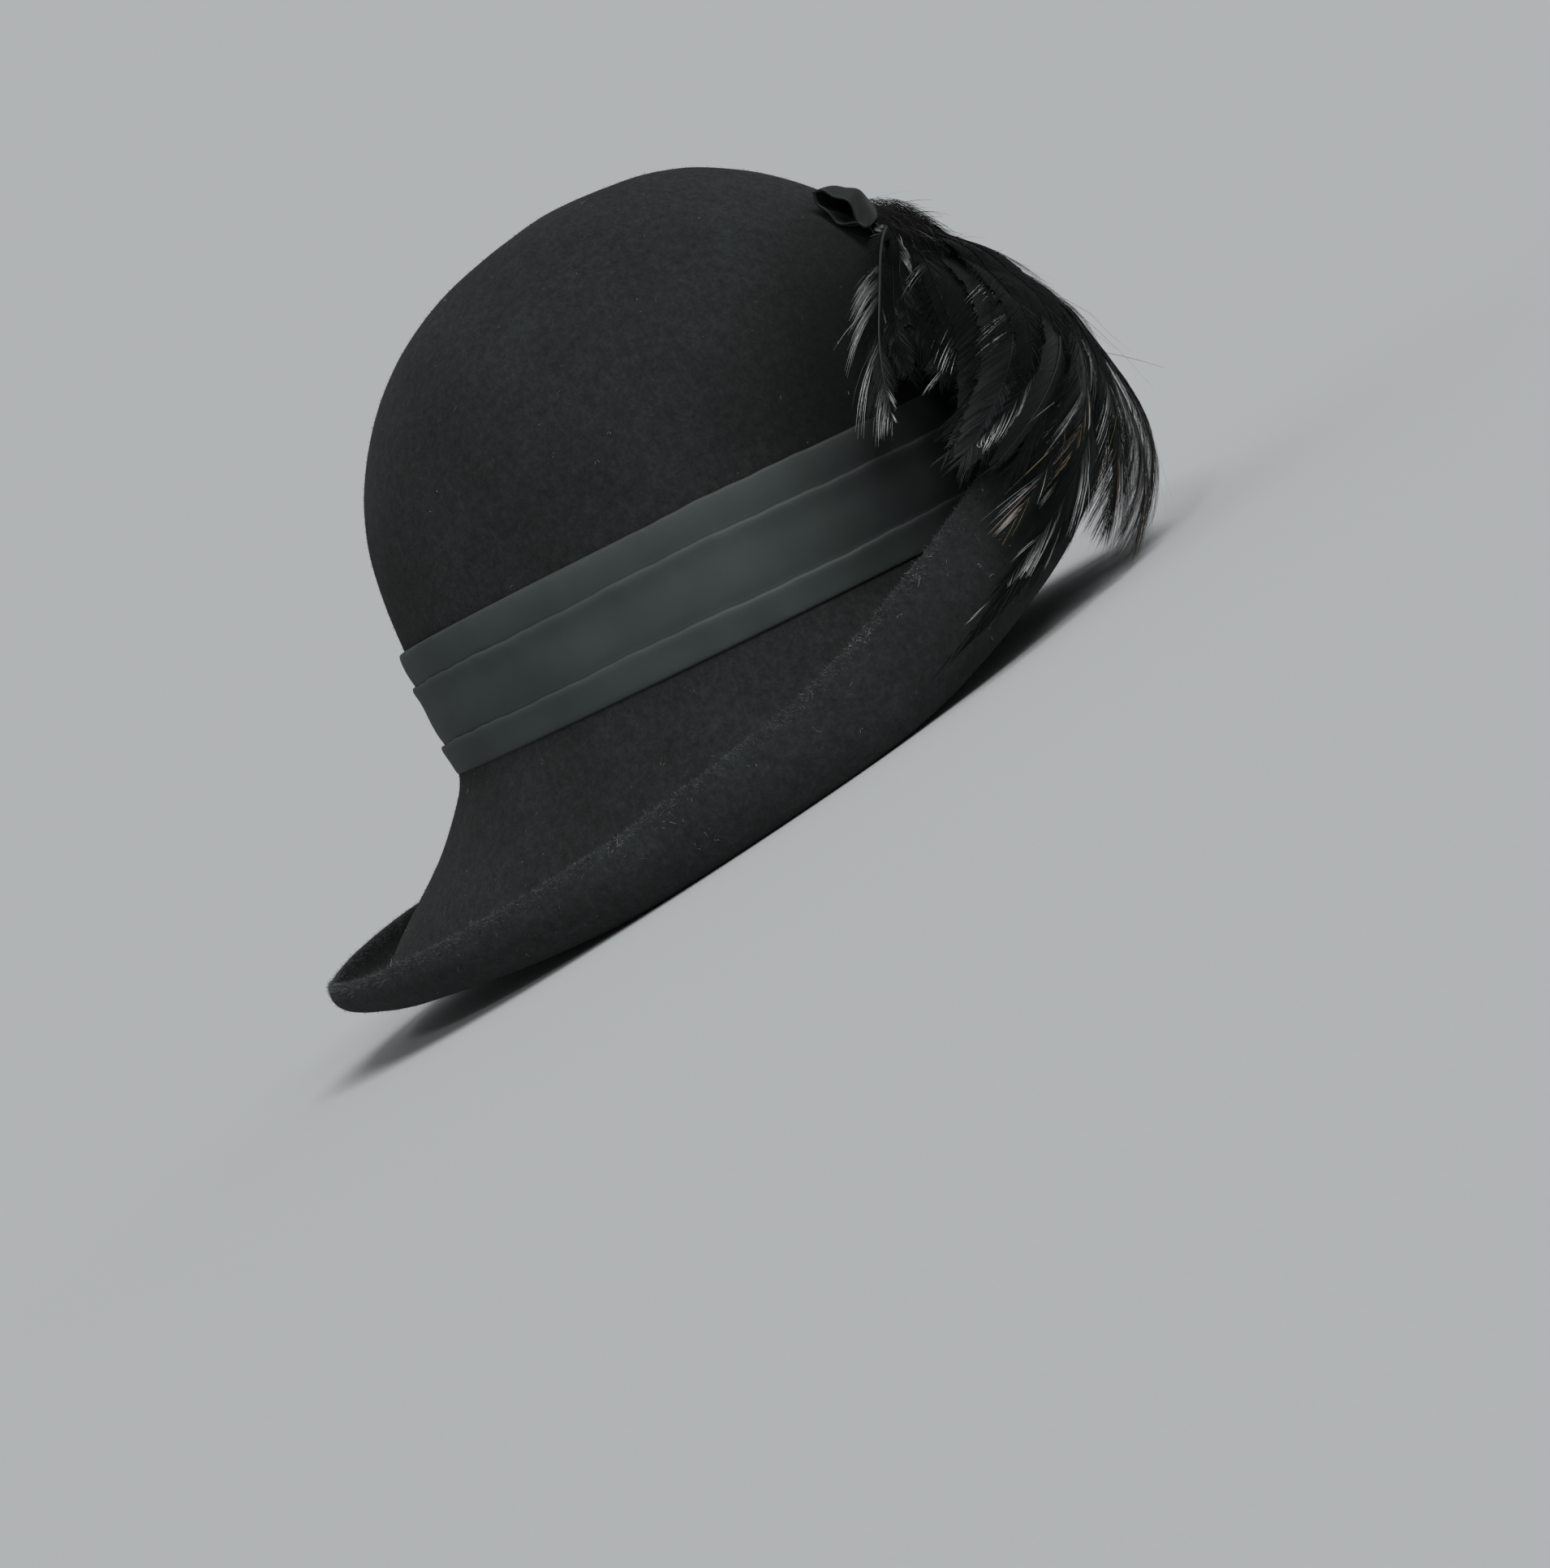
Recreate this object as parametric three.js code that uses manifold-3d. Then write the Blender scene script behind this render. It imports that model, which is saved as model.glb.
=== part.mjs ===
// A felt hat with a rounded crown, a bell-shaped flare and a brim that is turned up all round:
// a narrow lip at the back that grows into a tall wall in front. A tucked ribbon band goes round
// the crown, and a spray of curved feathers hangs from a folded loop at the crown's front.
// Millimetres, +Z up. The front of the hat faces -Y and the wearer's right is -X.

import * as THREE from "three";
import ManifoldModule from "manifold-3d";

// Felt: one blocked hood, so crown, flare and brim have one thickness.
const FELT_THICKNESS = 2.4;
const EDGE_ROUNDING = 0.7;
const LEFT_LIP_LIFT = 6;

// How the hat stands: nose down by this angle, with the felt pressed flat by this much below.
const REST_PITCH = THREE.MathUtils.degToRad(8.2);
const FELT_PRESS = 3;

// Net of the felt: points round the hat.
const POINTS_ROUND = 44;

// Sections of the crown, tip to head line: height above the head line, how far the outside of the
// felt stands from the crown's axis in front, at the sides and at the back, and in how many steps
// the felt goes on to the next section.
const CROWN_TIP = { height: 138, forward: 7 };
const CROWN_SECTIONS = [
  { height: 137, front: 25, side: 16, back: 7, steps: 2 },
  { height: 132.8, front: 42.6, side: 31, back: 28, steps: 2 },
  { height: 123.5, front: 58.4, side: 46.5, back: 53, steps: 2 },
  { height: 110.5, front: 73.6, side: 60, back: 70.6, steps: 2 },
  { height: 95, front: 86, side: 70.5, back: 83.2, steps: 2 },
  { height: 77, front: 93.6, side: 77.5, back: 92.4, steps: 2 },
  { height: 58, front: 97, side: 81, back: 96.4, steps: 1 },
  { height: 40, front: 98, side: 82, back: 98, steps: 1 },
  { height: 20, front: 98, side: 82, back: 98, steps: 1 },
  { height: 0, front: 98, side: 82, back: 98, steps: 1 },
];

// Sections of the flare and the turned-up brim, head line to edge: reach of the felt's upper face
// from the crown's axis and its height over the head line, each in front, at the sides and behind.
const BRIM_SECTIONS = [
  { front: 98.6, side: 85.5, back: 103.5, frontHeight: -2.5, sideHeight: -10, backHeight: -7, steps: 2 },
  { front: 100.5, side: 91, back: 116, frontHeight: -4.2, sideHeight: -24, backHeight: -20.5, steps: 2 },
  { front: 104, side: 99, back: 134, frontHeight: -4.4, sideHeight: -37, backHeight: -33.5, steps: 3 },
  { front: 109, side: 109, back: 151.5, frontHeight: -1.5, sideHeight: -44.8, backHeight: -47.8, steps: 3 },
  { front: 114.5, side: 116, back: 159, frontHeight: 6, sideHeight: -39, backHeight: -46.5, steps: 2 },
  { front: 117.5, side: 118.5, back: 161.5, frontHeight: 23, sideHeight: -29, backHeight: -43.5, steps: 2 },
  { front: 116.5, side: 116, back: 160.5, frontHeight: 42, sideHeight: -19.4, backHeight: -40, steps: 0 },
];

// Ribbon band, laid in three tucks whose folds point up: height over the head line and how far the
// ribbon's face stands off the felt.
const BAND_GAP = 0.4;
const BAND_SECTIONS = [
  { height: 0.4, proud: 1.5 },
  { height: 4, proud: 1.9 },
  { height: 8.5, proud: 2.3 },
  { height: 10.1, proud: 2.2 },
  { height: 10.5, proud: 1.5 },
  { height: 14, proud: 1.8 },
  { height: 19, proud: 1.9 },
  { height: 24, proud: 1.8 },
  { height: 28, proud: 2.5 },
  { height: 29.7, proud: 2.4 },
  { height: 30.1, proud: 1.4 },
  { height: 35, proud: 1.5 },
  { height: 39.9, proud: 1.4 },
];
const BAND_BACK_HEIGHTS = [39.9, 30, 20, 10, 0.4];

// Folded loop of ribbon at the root of the feathers: where it sits on the crown, its line up the
// crown's slope and off it, and the ribbon's width and thickness.
const LOOP_SEAT = { turn: THREE.MathUtils.degToRad(33), height: 95 };
const LOOP_WIDTH = 13;
const LOOP_THICKNESS = 1.4;
const LOOP_STEPS = 20;
const LOOP_LINE = [
  { along: -9, off: 4.2 },
  { along: -1, off: 1.1 },
  { along: 6, off: 1 },
  { along: 10, off: 4 },
  { along: 10, off: 8.4 },
  { along: 6, off: 10.4 },
  { along: 0, off: 9.6 },
  { along: -9, off: 7 },
];
const NEARBY = 0.01;

// Backing that the feathers are fused to, on the front of the crown.
const PAD = { turn: 10, height: 80, halfWidth: 24, halfHeight: 16, gap: 0.8, thickness: 9, rim: 3.4 };
const PAD_POINTS = 14;
const PAD_RINGS = [0.45, 0.8, 1];

// Feathers, in an upper and a lower tier: where each leaves the backing and where its tip ends, as
// degrees round the crown from the front toward the wearer's right and height over the head line.
// Sweep over 1 turns it late, under 1 early. Arch is how far it bows off what it lies over and curl
// how far its tip draws in; then the width of its vane, and its roll about the shaft in degrees.
const UPPER_TIER = [
  { turn: 20, height: 89, tipTurn: 59, tipHeight: 35, sweep: 0.45, arch: 0, width: 20, roll: -6 },
  { turn: 18, height: 90, tipTurn: 46, tipHeight: 40, sweep: 0.9, arch: 1, width: 21, roll: -8 },
  { turn: 16, height: 90, tipTurn: 52, tipHeight: 27, sweep: 1.3, arch: 1, width: 22, roll: -6 },
  { turn: 14, height: 91, tipTurn: 58, tipHeight: 17, sweep: 1.7, arch: 2, width: 23, roll: -8 },
  { turn: 12, height: 92, tipTurn: 44, tipHeight: 24, sweep: 1.5, arch: 3, width: 22, roll: -8 },
  { turn: 10, height: 92, tipTurn: 31, tipHeight: 30, sweep: 1.3, arch: 4.6, width: 22, roll: 4 },
  { turn: 8, height: 93, tipTurn: 19, tipHeight: 33, sweep: 1.2, arch: 3, width: 22, roll: -6 },
  { turn: 6, height: 93, tipTurn: 7, tipHeight: 33, sweep: 1, arch: 2.6, width: 22, roll: 4 },
  { turn: 4, height: 92, tipTurn: -6, tipHeight: 35, sweep: 1, arch: 3, width: 22, roll: -4 },
  { turn: 2, height: 91, tipTurn: -20, tipHeight: 36, sweep: 1, arch: 3, width: 21, roll: 8 },
  { turn: 0, height: 89, tipTurn: -36, tipHeight: 38, sweep: 0.8, arch: 1, width: 20, roll: 6 },
];
const LOWER_TIER = [
  { turn: 13, height: 72, tipTurn: 55, tipHeight: 12, sweep: 2, arch: 2, curl: 0, width: 15, roll: -10 },
  { turn: 12, height: 71, tipTurn: 57, tipHeight: -4, sweep: 1.9, arch: 2, curl: 0, width: 18, roll: 8 },
  { turn: 10, height: 70, tipTurn: 47, tipHeight: -1, sweep: 1.7, arch: 4, curl: 0, width: 18, roll: -8 },
  { turn: 9, height: 69, tipTurn: 66, tipHeight: -20, sweep: 2, arch: 3, curl: 0, width: 17, roll: 6 },
  { turn: 8, height: 69, tipTurn: 73, tipHeight: -27, sweep: 2.1, arch: 2, curl: 0, width: 13, roll: 4 },
  { turn: 9, height: 70, tipTurn: 39, tipHeight: -14, sweep: 1.6, arch: 6, curl: 0, width: 20, roll: 8 },
  { turn: 8, height: 71, tipTurn: 28, tipHeight: -24, sweep: 1.4, arch: 7, curl: 4, width: 21, roll: -6 },
  { turn: 7, height: 72, tipTurn: 18, tipHeight: -25, sweep: 1.2, arch: 9, curl: 10, width: 22, roll: 6 },
  { turn: 5, height: 72, tipTurn: 7, tipHeight: -25, sweep: 1, arch: 10, curl: 13, width: 22, roll: -4 },
  { turn: 3, height: 71, tipTurn: -4, tipHeight: -24, sweep: 1, arch: 9, curl: 11, width: 22, roll: 4 },
  { turn: 1, height: 70, tipTurn: -16, tipHeight: -22, sweep: 1, arch: 7, curl: 6, width: 21, roll: -6 },
  { turn: 0, height: 69, tipTurn: -30, tipHeight: -14, sweep: 1, arch: 5, curl: 0, width: 20, roll: 6 },
];

// Where along its length a feather of each tier bows most: at the middle, or toward the tip.
const UPPER_BOW = 1;
const LOWER_BOW = 2;
const FEATHERS = [
  ...UPPER_TIER.map((row) => ({ ...row, bow: UPPER_BOW, curl: 0 })),
  ...LOWER_TIER.map((row) => ({ ...row, bow: LOWER_BOW })),
];
const FEATHER_STEPS = 6;
const FEATHER_THICKNESS = 1.2;
const FEATHER_ROOT_OFF = 4.4;
const FEATHER_CLEAR = 4.4;
const FEATHER_RISE = 0.3;
const FEATHER_CURL_EASE = 6;
const FEATHER_ROOT_WIDTH = 0.16;
const FEATHER_TIP_WIDTH = 0.1;
const VANE_WIDEST = 0.8;
const VANE_FULLNESS = 0.7;
const FEATHER_DROOP = 0.12;
const DRAPE_SPAN = 46;
const LEAST_EDGE = 0.05;

const felt = new THREE.MeshStandardMaterial({ color: 0x26292a, roughness: 0.96, metalness: 0 });
const ribbon = new THREE.MeshStandardMaterial({ color: 0x363d3c, roughness: 0.62, metalness: 0 });
const loopRibbon = new THREE.MeshStandardMaterial({ color: 0x2c3131, roughness: 0.8, metalness: 0 });
const feather = new THREE.MeshStandardMaterial({ color: 0x1d2120, roughness: 0.4, metalness: 0 });

/** Value at one place round the hat, from its values in front, at the sides and at the back. */
function roundTheHat(front, side, back, turn) {
  const forward = Math.cos(turn);
  const swing = (front - back) / 2;
  const bow = (front + back) / 2 - side;
  return side + swing * forward + bow * forward * forward;
}

/** Point at one place round the hat, from reaches in front, at the sides and at the back. */
function placed(section, turn, height, off = 0) {
  const forward = Math.cos(turn);
  const lengthwise = forward >= 0 ? section.front : section.back;
  return new THREE.Vector3(
    -(section.side + off) * Math.sin(turn),
    -(lengthwise + off) * forward,
    height,
  );
}

/** Reaches of the crown's outside at a height, on a smooth line through its sections. */
function crownAt(height) {
  const rising = [...CROWN_SECTIONS].reverse();
  const heights = rising.map((row) => row.height);
  const reaches = rising.flatMap((row) => [row.front, row.side, row.back]);
  const line = new THREE.CubicInterpolant(heights, reaches, 3, []);
  const [front, side, back] = line.evaluate(height);
  return { front, side, back };
}

/** Extra height of the brim's lip behind the wearer's left ear. */
function leftLift(turn) {
  const leftness = Math.max(0, -Math.sin(turn));
  const backness = Math.max(0, -Math.cos(turn));
  return LEFT_LIP_LIFT * 2 * leftness * backness;
}

/** Height of the felt's upper face at one section of the brim. */
function brimHeight(section, turn) {
  const { frontHeight, sideHeight, backHeight } = section;
  const last = section === BRIM_SECTIONS[BRIM_SECTIONS.length - 1];
  const lift = last ? leftLift(turn) : 0;
  return roundTheHat(frontHeight, sideHeight, backHeight, turn) + lift;
}

/** Closed solid over rings of points; the rings run between two tips, or else join in a circle. */
function loft(rings, tips) {
  const count = rings[0].length;
  const points = rings.flat();
  const triangles = [];
  const spans = tips ? rings.length - 1 : rings.length;
  for (let i = 0; i < spans; i += 1) {
    const here = i * count;
    const next = ((i + 1) % rings.length) * count;
    for (let j = 0; j < count; j += 1) {
      const k = (j + 1) % count;
      triangles.push([here + j, next + j, next + k]);
      triangles.push([here + j, next + k, here + k]);
    }
  }
  if (tips) {
    const first = points.push(tips.first) - 1;
    const last = points.push(tips.last) - 1;
    const tail = (rings.length - 1) * count;
    for (let j = 0; j < count; j += 1) {
      const k = (j + 1) % count;
      triangles.push([first, j, k]);
      triangles.push([last, tail + k, tail + j]);
    }
  }
  const volume = triangles.reduce((sum, [a, b, c]) => {
    const normal = new THREE.Vector3().crossVectors(points[b], points[c]);
    return sum + points[a].dot(normal);
  }, 0);
  const facing = volume < 0 ? triangles.map(([a, b, c]) => [a, c, b]) : triangles;
  const geometry = new THREE.BufferGeometry();
  geometry.setAttribute("position", new THREE.Float32BufferAttribute(points.flatMap((p) => p.toArray()), 3));
  geometry.setIndex(facing.flat());
  return geometry;
}

/** Angles of the points round the hat, from the front toward the wearer's right. */
function turnsRound() {
  return Array.from({ length: POINTS_ROUND }, (_, j) => (j / POINTS_ROUND) * 2 * Math.PI);
}

/** Rings of the felt's upper face, tip of the crown to edge of the brim. */
function upperRings() {
  const sections = [...CROWN_SECTIONS, ...BRIM_SECTIONS];
  const stops = sections.flatMap(({ steps }, i) => Array.from({ length: steps }, (_, k) => i + k / steps));
  stops.push(sections.length - 1);
  const columns = turnsRound().map((turn) => {
    const crown = CROWN_SECTIONS.map((section) => placed(section, turn, section.height));
    const brim = BRIM_SECTIONS.map((section) => placed(section, turn, brimHeight(section, turn)));
    const line = new THREE.CatmullRomCurve3([...crown, ...brim]);
    return stops.map((stop) => line.getPoint(stop / (sections.length - 1)));
  });
  return stops.map((_, i) => columns.map((column) => column[i]));
}

/** Directions square to the felt's upper face, at each point of its rings. */
function upperNormals(rings, tip) {
  return rings.map((ring, i) => ring.map((_, j) => {
    const before = i > 0 ? rings[i - 1][j] : tip;
    const after = rings[Math.min(i + 1, rings.length - 1)][j];
    const left = ring[(j + ring.length - 1) % ring.length];
    const right = ring[(j + 1) % ring.length];
    const outward = new THREE.Vector3().subVectors(after, before);
    const sideways = new THREE.Vector3().subVectors(right, left);
    return new THREE.Vector3().crossVectors(sideways, outward).normalize();
  }));
}

/** The hat's pose on a surface: nose down, and as low as the pressed felt lets it sit. */
function restPose(lowest) {
  const lift = new THREE.Matrix4().makeTranslation(0, 0, -lowest - FELT_PRESS);
  return lift.multiply(new THREE.Matrix4().makeRotationX(REST_PITCH));
}

/** The felt hood and the pose in which its pressed underside stands on the surface. */
function feltBody() {
  const upper = upperRings();
  const tip = new THREE.Vector3(0, -CROWN_TIP.forward, CROWN_TIP.height);
  const normals = upperNormals(upper, tip);
  const under = upper.map((ring, i) => ring.map((p, j) => {
    return p.clone().addScaledVector(normals[i][j], -FELT_THICKNESS);
  }));
  const underTip = tip.clone();
  underTip.z -= FELT_THICKNESS;
  const end = upper.length - 1;
  const edge = upper[end].map((p, j) => {
    const outward = new THREE.Vector3().subVectors(p, upper[end - 1][j]).normalize();
    return p.clone().add(under[end][j]).divideScalar(2).addScaledVector(outward, EDGE_ROUNDING);
  });
  const pitched = new THREE.Matrix4().makeRotationX(REST_PITCH);
  const lowest = Math.min(...under.flat().map((p) => p.clone().applyMatrix4(pitched).z));
  const pose = restPose(lowest);
  const settle = (p, floor) => {
    const q = p.clone().applyMatrix4(pose);
    q.z = Math.max(q.z, floor);
    return q;
  };
  const upperSettled = upper.map((ring) => ring.map((p) => settle(p, FELT_THICKNESS)));
  const edgeSettled = edge.map((p) => settle(p, 0));
  const underSettled = under.map((ring) => ring.map((p) => settle(p, 0)));
  const rings = [...upperSettled, edgeSettled, ...underSettled.reverse()];
  const geometry = loft(rings, { first: tip.applyMatrix4(pose), last: underTip.applyMatrix4(pose) });
  return { geometry, pose };
}

/** The tucked ribbon band: its face in folds, its back along the felt. */
function hatBand() {
  const face = BAND_SECTIONS.map(({ height, proud }) => {
    return turnsRound().map((turn) => placed(crownAt(height), turn, height, proud));
  });
  const back = BAND_BACK_HEIGHTS.map((height) => {
    return turnsRound().map((turn) => placed(crownAt(height), turn, height, BAND_GAP));
  });
  return loft([...face, ...back]);
}

/** A surface at one place: the point, and directions up its slope, across it and off it. */
function frameOn(surface, turn, height) {
  const point = surface(turn, height);
  const up = surface(turn, height + NEARBY).sub(point).normalize();
  const across = surface(turn + NEARBY, height).sub(point).normalize();
  const off = new THREE.Vector3().crossVectors(up, across).normalize();
  return { point, up, across, off };
}

/** The outside of the crown. */
function crownSurface(turn, height) {
  return placed(crownAt(height), turn, height);
}

/** The folded loop: a ribbon's cross-section carried round its closed line. */
function trimLoop() {
  const seat = frameOn(crownSurface, LOOP_SEAT.turn, LOOP_SEAT.height);
  const corners = LOOP_LINE.map((row) => {
    return seat.point.clone().addScaledVector(seat.up, row.along).addScaledVector(seat.off, row.off);
  });
  const line = new THREE.CatmullRomCurve3(corners, true);
  const across = seat.across.clone().setLength(LOOP_WIDTH / 2);
  const rings = Array.from({ length: LOOP_STEPS }, (_, i) => {
    const middle = line.getPointAt(i / LOOP_STEPS);
    const along = line.getTangentAt(i / LOOP_STEPS);
    const square = new THREE.Vector3().crossVectors(across, along).setLength(LOOP_THICKNESS / 2);
    return [
      middle.clone().add(across).add(square),
      middle.clone().sub(across).add(square),
      middle.clone().sub(across).sub(square),
      middle.clone().add(across).sub(square),
    ];
  });
  return loft(rings);
}

/** What a feather lies over: the crown at its root, then the slope down to the turned-up brim. */
function drapeAt(turn, height, rise) {
  const wall = BRIM_SECTIONS[BRIM_SECTIONS.length - 2];
  const edge = BRIM_SECTIONS[BRIM_SECTIONS.length - 1];
  const edgeHeight = brimHeight(edge, turn);
  const crown = crownAt(Math.max(height, 0));
  const lower = 1 - THREE.MathUtils.smoothstep(height, edgeHeight, edgeHeight + DRAPE_SPAN);
  return {
    front: THREE.MathUtils.lerp(crown.front, wall.front + FELT_THICKNESS, lower * rise),
    side: THREE.MathUtils.lerp(crown.side, wall.side + FELT_THICKNESS, lower * rise),
    back: crown.back,
  };
}

/** Place on a feather's shaft, root to tip, and the way off what the feather lies over. */
function shaftAt(row, share) {
  const degrees = THREE.MathUtils.lerp(row.turn, row.tipTurn, share ** row.sweep);
  const rise = THREE.MathUtils.smoothstep(share, 0, FEATHER_RISE);
  const clear = THREE.MathUtils.lerp(FEATHER_ROOT_OFF, FEATHER_CLEAR, rise);
  const arch = row.arch * Math.sin(Math.PI * share ** row.bow);
  const curl = row.curl * share ** FEATHER_CURL_EASE;
  const layer = (turn, height) => placed(drapeAt(turn, height, rise), turn, height, clear + arch - curl);
  const height = THREE.MathUtils.lerp(row.height, row.tipHeight, share);
  return frameOn(layer, THREE.MathUtils.degToRad(degrees), height);
}

/** Width of a feather's vane along its shaft, as a share of its full width. */
function vaneShare(share) {
  const body = Math.sin(Math.PI * share ** VANE_WIDEST) ** VANE_FULLNESS;
  const least = THREE.MathUtils.lerp(FEATHER_ROOT_WIDTH, FEATHER_TIP_WIDTH, share);
  return Math.max(body, least);
}

/** One feather: a thin blade, thickest at its shaft, that droops to both sides. */
function featherBlade(row) {
  const step = 1 / (FEATHER_STEPS + 1);
  const roll = THREE.MathUtils.degToRad(row.roll);
  const rings = Array.from({ length: FEATHER_STEPS }, (_, i) => {
    const share = (i + 1) * step;
    const { point, off } = shaftAt(row, share);
    const along = shaftAt(row, share + step).point.sub(shaftAt(row, share - step).point).normalize();
    const across = new THREE.Vector3().crossVectors(off, along).normalize();
    across.applyAxisAngle(along, roll);
    const square = new THREE.Vector3().crossVectors(along, across).normalize();
    const half = (row.width / 2) * vaneShare(share);
    const rise = square.clone().multiplyScalar(FEATHER_THICKNESS / 2);
    const droop = square.clone().multiplyScalar(-half * FEATHER_DROOP);
    return [
      point.clone().add(rise),
      point.clone().addScaledVector(across, half).add(droop),
      point.clone().sub(rise),
      point.clone().addScaledVector(across, -half).add(droop),
    ];
  });
  return loft(rings, { first: shaftAt(row, 0).point, last: shaftAt(row, 1).point });
}

/** Point on the backing: a place in its oval, off the crown. */
function padPoint(share, angle, off) {
  const height = PAD.height + PAD.halfHeight * share * Math.sin(angle);
  const crown = crownAt(height);
  const aside = (PAD.halfWidth * share * Math.cos(angle)) / crown.side;
  const turn = THREE.MathUtils.degToRad(PAD.turn) + Math.asin(aside);
  return placed(crown, turn, height, off);
}

/** Backing of the spray: an oval that follows the crown and thins toward its rim. */
function featherPad() {
  const angles = Array.from({ length: PAD_POINTS }, (_, i) => (i / PAD_POINTS) * 2 * Math.PI);
  const outer = PAD_RINGS.map((share) => {
    const thick = THREE.MathUtils.lerp(PAD.thickness, PAD.rim, share * share);
    return angles.map((angle) => padPoint(share, angle, PAD.gap + thick));
  });
  const inner = PAD_RINGS.map((share) => angles.map((angle) => padPoint(share, angle, PAD.gap)));
  const first = padPoint(0, 0, PAD.gap + PAD.thickness);
  const last = padPoint(0, 0, PAD.gap);
  return loft([...outer, ...inner.reverse()], { first, last });
}

const { Manifold, Mesh } = await ManifoldModule().then((wasm) => {
  wasm.setup();
  return wasm;
});

/** A closed geometry as a solid that can be joined. */
function solid(geometry) {
  return new Manifold(new Mesh({
    numProp: 3,
    vertProperties: new Float32Array(geometry.getAttribute("position").array),
    triVerts: new Uint32Array(geometry.getIndex().array),
  }));
}

/** A joined solid as geometry. */
function geometryOf(joined) {
  const mesh = joined.getMesh();
  const geometry = new THREE.BufferGeometry();
  geometry.setAttribute("position", new THREE.BufferAttribute(mesh.vertProperties, mesh.numProp));
  geometry.setIndex(new THREE.BufferAttribute(mesh.triVerts, 1));
  return geometry;
}

/** The spray: every feather joined to the backing, with the pockets shut in between them filled. */
function featherSpray() {
  const blades = FEATHERS.map((row) => solid(featherBlade(row)));
  const joined = Manifold.union([solid(featherPad()), ...blades]);
  const skins = joined.simplify(LEAST_EDGE).decompose().filter((skin) => skin.volume() > 0);
  return geometryOf(Manifold.compose(skins));
}

/** A named piece of the hat. */
function piece(name, geometry, material) {
  geometry.computeVertexNormals();
  const mesh = new THREE.Mesh(geometry, material);
  mesh.name = name;
  return mesh;
}

const { geometry: feltGeometry, pose } = feltBody();
const hat = new THREE.Group();
hat.name = "feathered_felt_hat";
hat.add(piece("felt_body", feltGeometry, felt));
hat.add(piece("hat_band", hatBand().applyMatrix4(pose), ribbon));
hat.add(piece("trim_loop", trimLoop().applyMatrix4(pose), loopRibbon));
hat.add(piece("feather_spray", featherSpray().applyMatrix4(pose), feather));

const middle = new THREE.Box3().setFromObject(hat).getCenter(new THREE.Vector3());
hat.children.forEach((mesh) => mesh.geometry.translate(-middle.x, -middle.y, 0));

export default hat;
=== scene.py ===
import math
from typing import NamedTuple

import bpy
import numpy as np
from mathutils import Matrix, Vector, noise


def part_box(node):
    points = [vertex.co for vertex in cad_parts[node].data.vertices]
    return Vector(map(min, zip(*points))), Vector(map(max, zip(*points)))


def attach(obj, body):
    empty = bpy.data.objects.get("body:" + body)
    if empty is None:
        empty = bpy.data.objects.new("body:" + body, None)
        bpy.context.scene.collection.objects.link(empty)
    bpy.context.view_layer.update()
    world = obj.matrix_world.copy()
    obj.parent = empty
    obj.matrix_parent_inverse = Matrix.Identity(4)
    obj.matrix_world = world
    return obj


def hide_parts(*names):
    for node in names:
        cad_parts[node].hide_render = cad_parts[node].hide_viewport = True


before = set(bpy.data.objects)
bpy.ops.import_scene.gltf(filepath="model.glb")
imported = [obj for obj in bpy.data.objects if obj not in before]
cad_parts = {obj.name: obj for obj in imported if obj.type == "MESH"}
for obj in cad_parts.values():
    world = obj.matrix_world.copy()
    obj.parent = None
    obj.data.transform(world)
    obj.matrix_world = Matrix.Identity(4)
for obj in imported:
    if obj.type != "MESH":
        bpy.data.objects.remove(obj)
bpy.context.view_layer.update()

bl_info = {
    "name": "Feathered felt hat",
    "version": (1, 0, 0),
    "blender": (4, 5, 0),
    "location": "3D View > Sidebar > Hat",
    "description": "Dresses a felt hat: napped felt, tucked ribbon band, ribbon loop, spray of feathers",
    "category": "Object",
}

# Lengths in the tables are millimetres of the upright hat, heights are over its head line, and places
# round it are turns from the front toward the wearer's right.
MM = 0.001

# How the hat stands: nose down by this angle, turned about the row's X axis.
REST_PITCH = math.radians(8.2)
BAND_MIDDLE = 20.15

# Sections of the crown, head line to tip: height, then the felt's reach in front, at the sides, behind.
CROWN_SECTIONS = (
    (0, 98, 82, 98),
    (20, 98, 82, 98),
    (40, 98, 82, 98),
    (58, 97, 81, 96.4),
    (77, 93.6, 77.5, 92.4),
    (95, 86, 70.5, 83.2),
    (110.5, 73.6, 60, 70.6),
    (123.5, 58.4, 46.5, 53),
    (132.8, 42.6, 31, 28),
    (137, 25, 16, 7),
)

# The turned-up brim: reach of its wall under the feathers in front and at the sides, then height and
# reach of its edge in front, at the sides and behind, and how much higher it is at the left back. Over
# the span above the edge a feather passes from the crown to the wall.
WALL_REACH = (119.9, 120.9)
EDGE_HEIGHT = (42, -19.4, -40)
RIM_REACH = (117.5, 117, 161.5)
LEFT_LIP_LIFT = 6
DRAPE_SPAN = 46

# Waves of the uneven felt: how many a metre, and their share. They fade near the floor and under the
# band, whose hold sets in and lets go between two heights each and is as firm as this share.
FELT_WAVES = ((28, 1), (71, 0.5))
FLOOR_EASE = 12
BAND_HOLDS = {"from": (-14, -4), "to": (42, 54), "share": 0.8}

# Fibres on the felt: the nap, the worn fuzz along the edge of the brim, made pale partly as a painted
# highlight on the rim, and the lint.
NAP = {"seed": 11, "over_floor": 4, "length": (0.7, 1.6), "rise": (0.25, 0.7), "half_width": 0.05}
FUZZ = {"seed": 17, "within": 2.2, "length": (0.5, 1.7), "lean": 0.9, "half_width": 0.035}
LINT = {"seed": 23, "over_floor": 6, "below": 75, "outside": (95, 115), "width": (0.03, 0.065), "steps": 6}
# How likely lint is anywhere, on the brim, on the wearer's right and where it has gathered.
LINT_CHANCE = {"anywhere": 0.25, "brim": 2.2, "right": 0.5, "gathered": 150}
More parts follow.
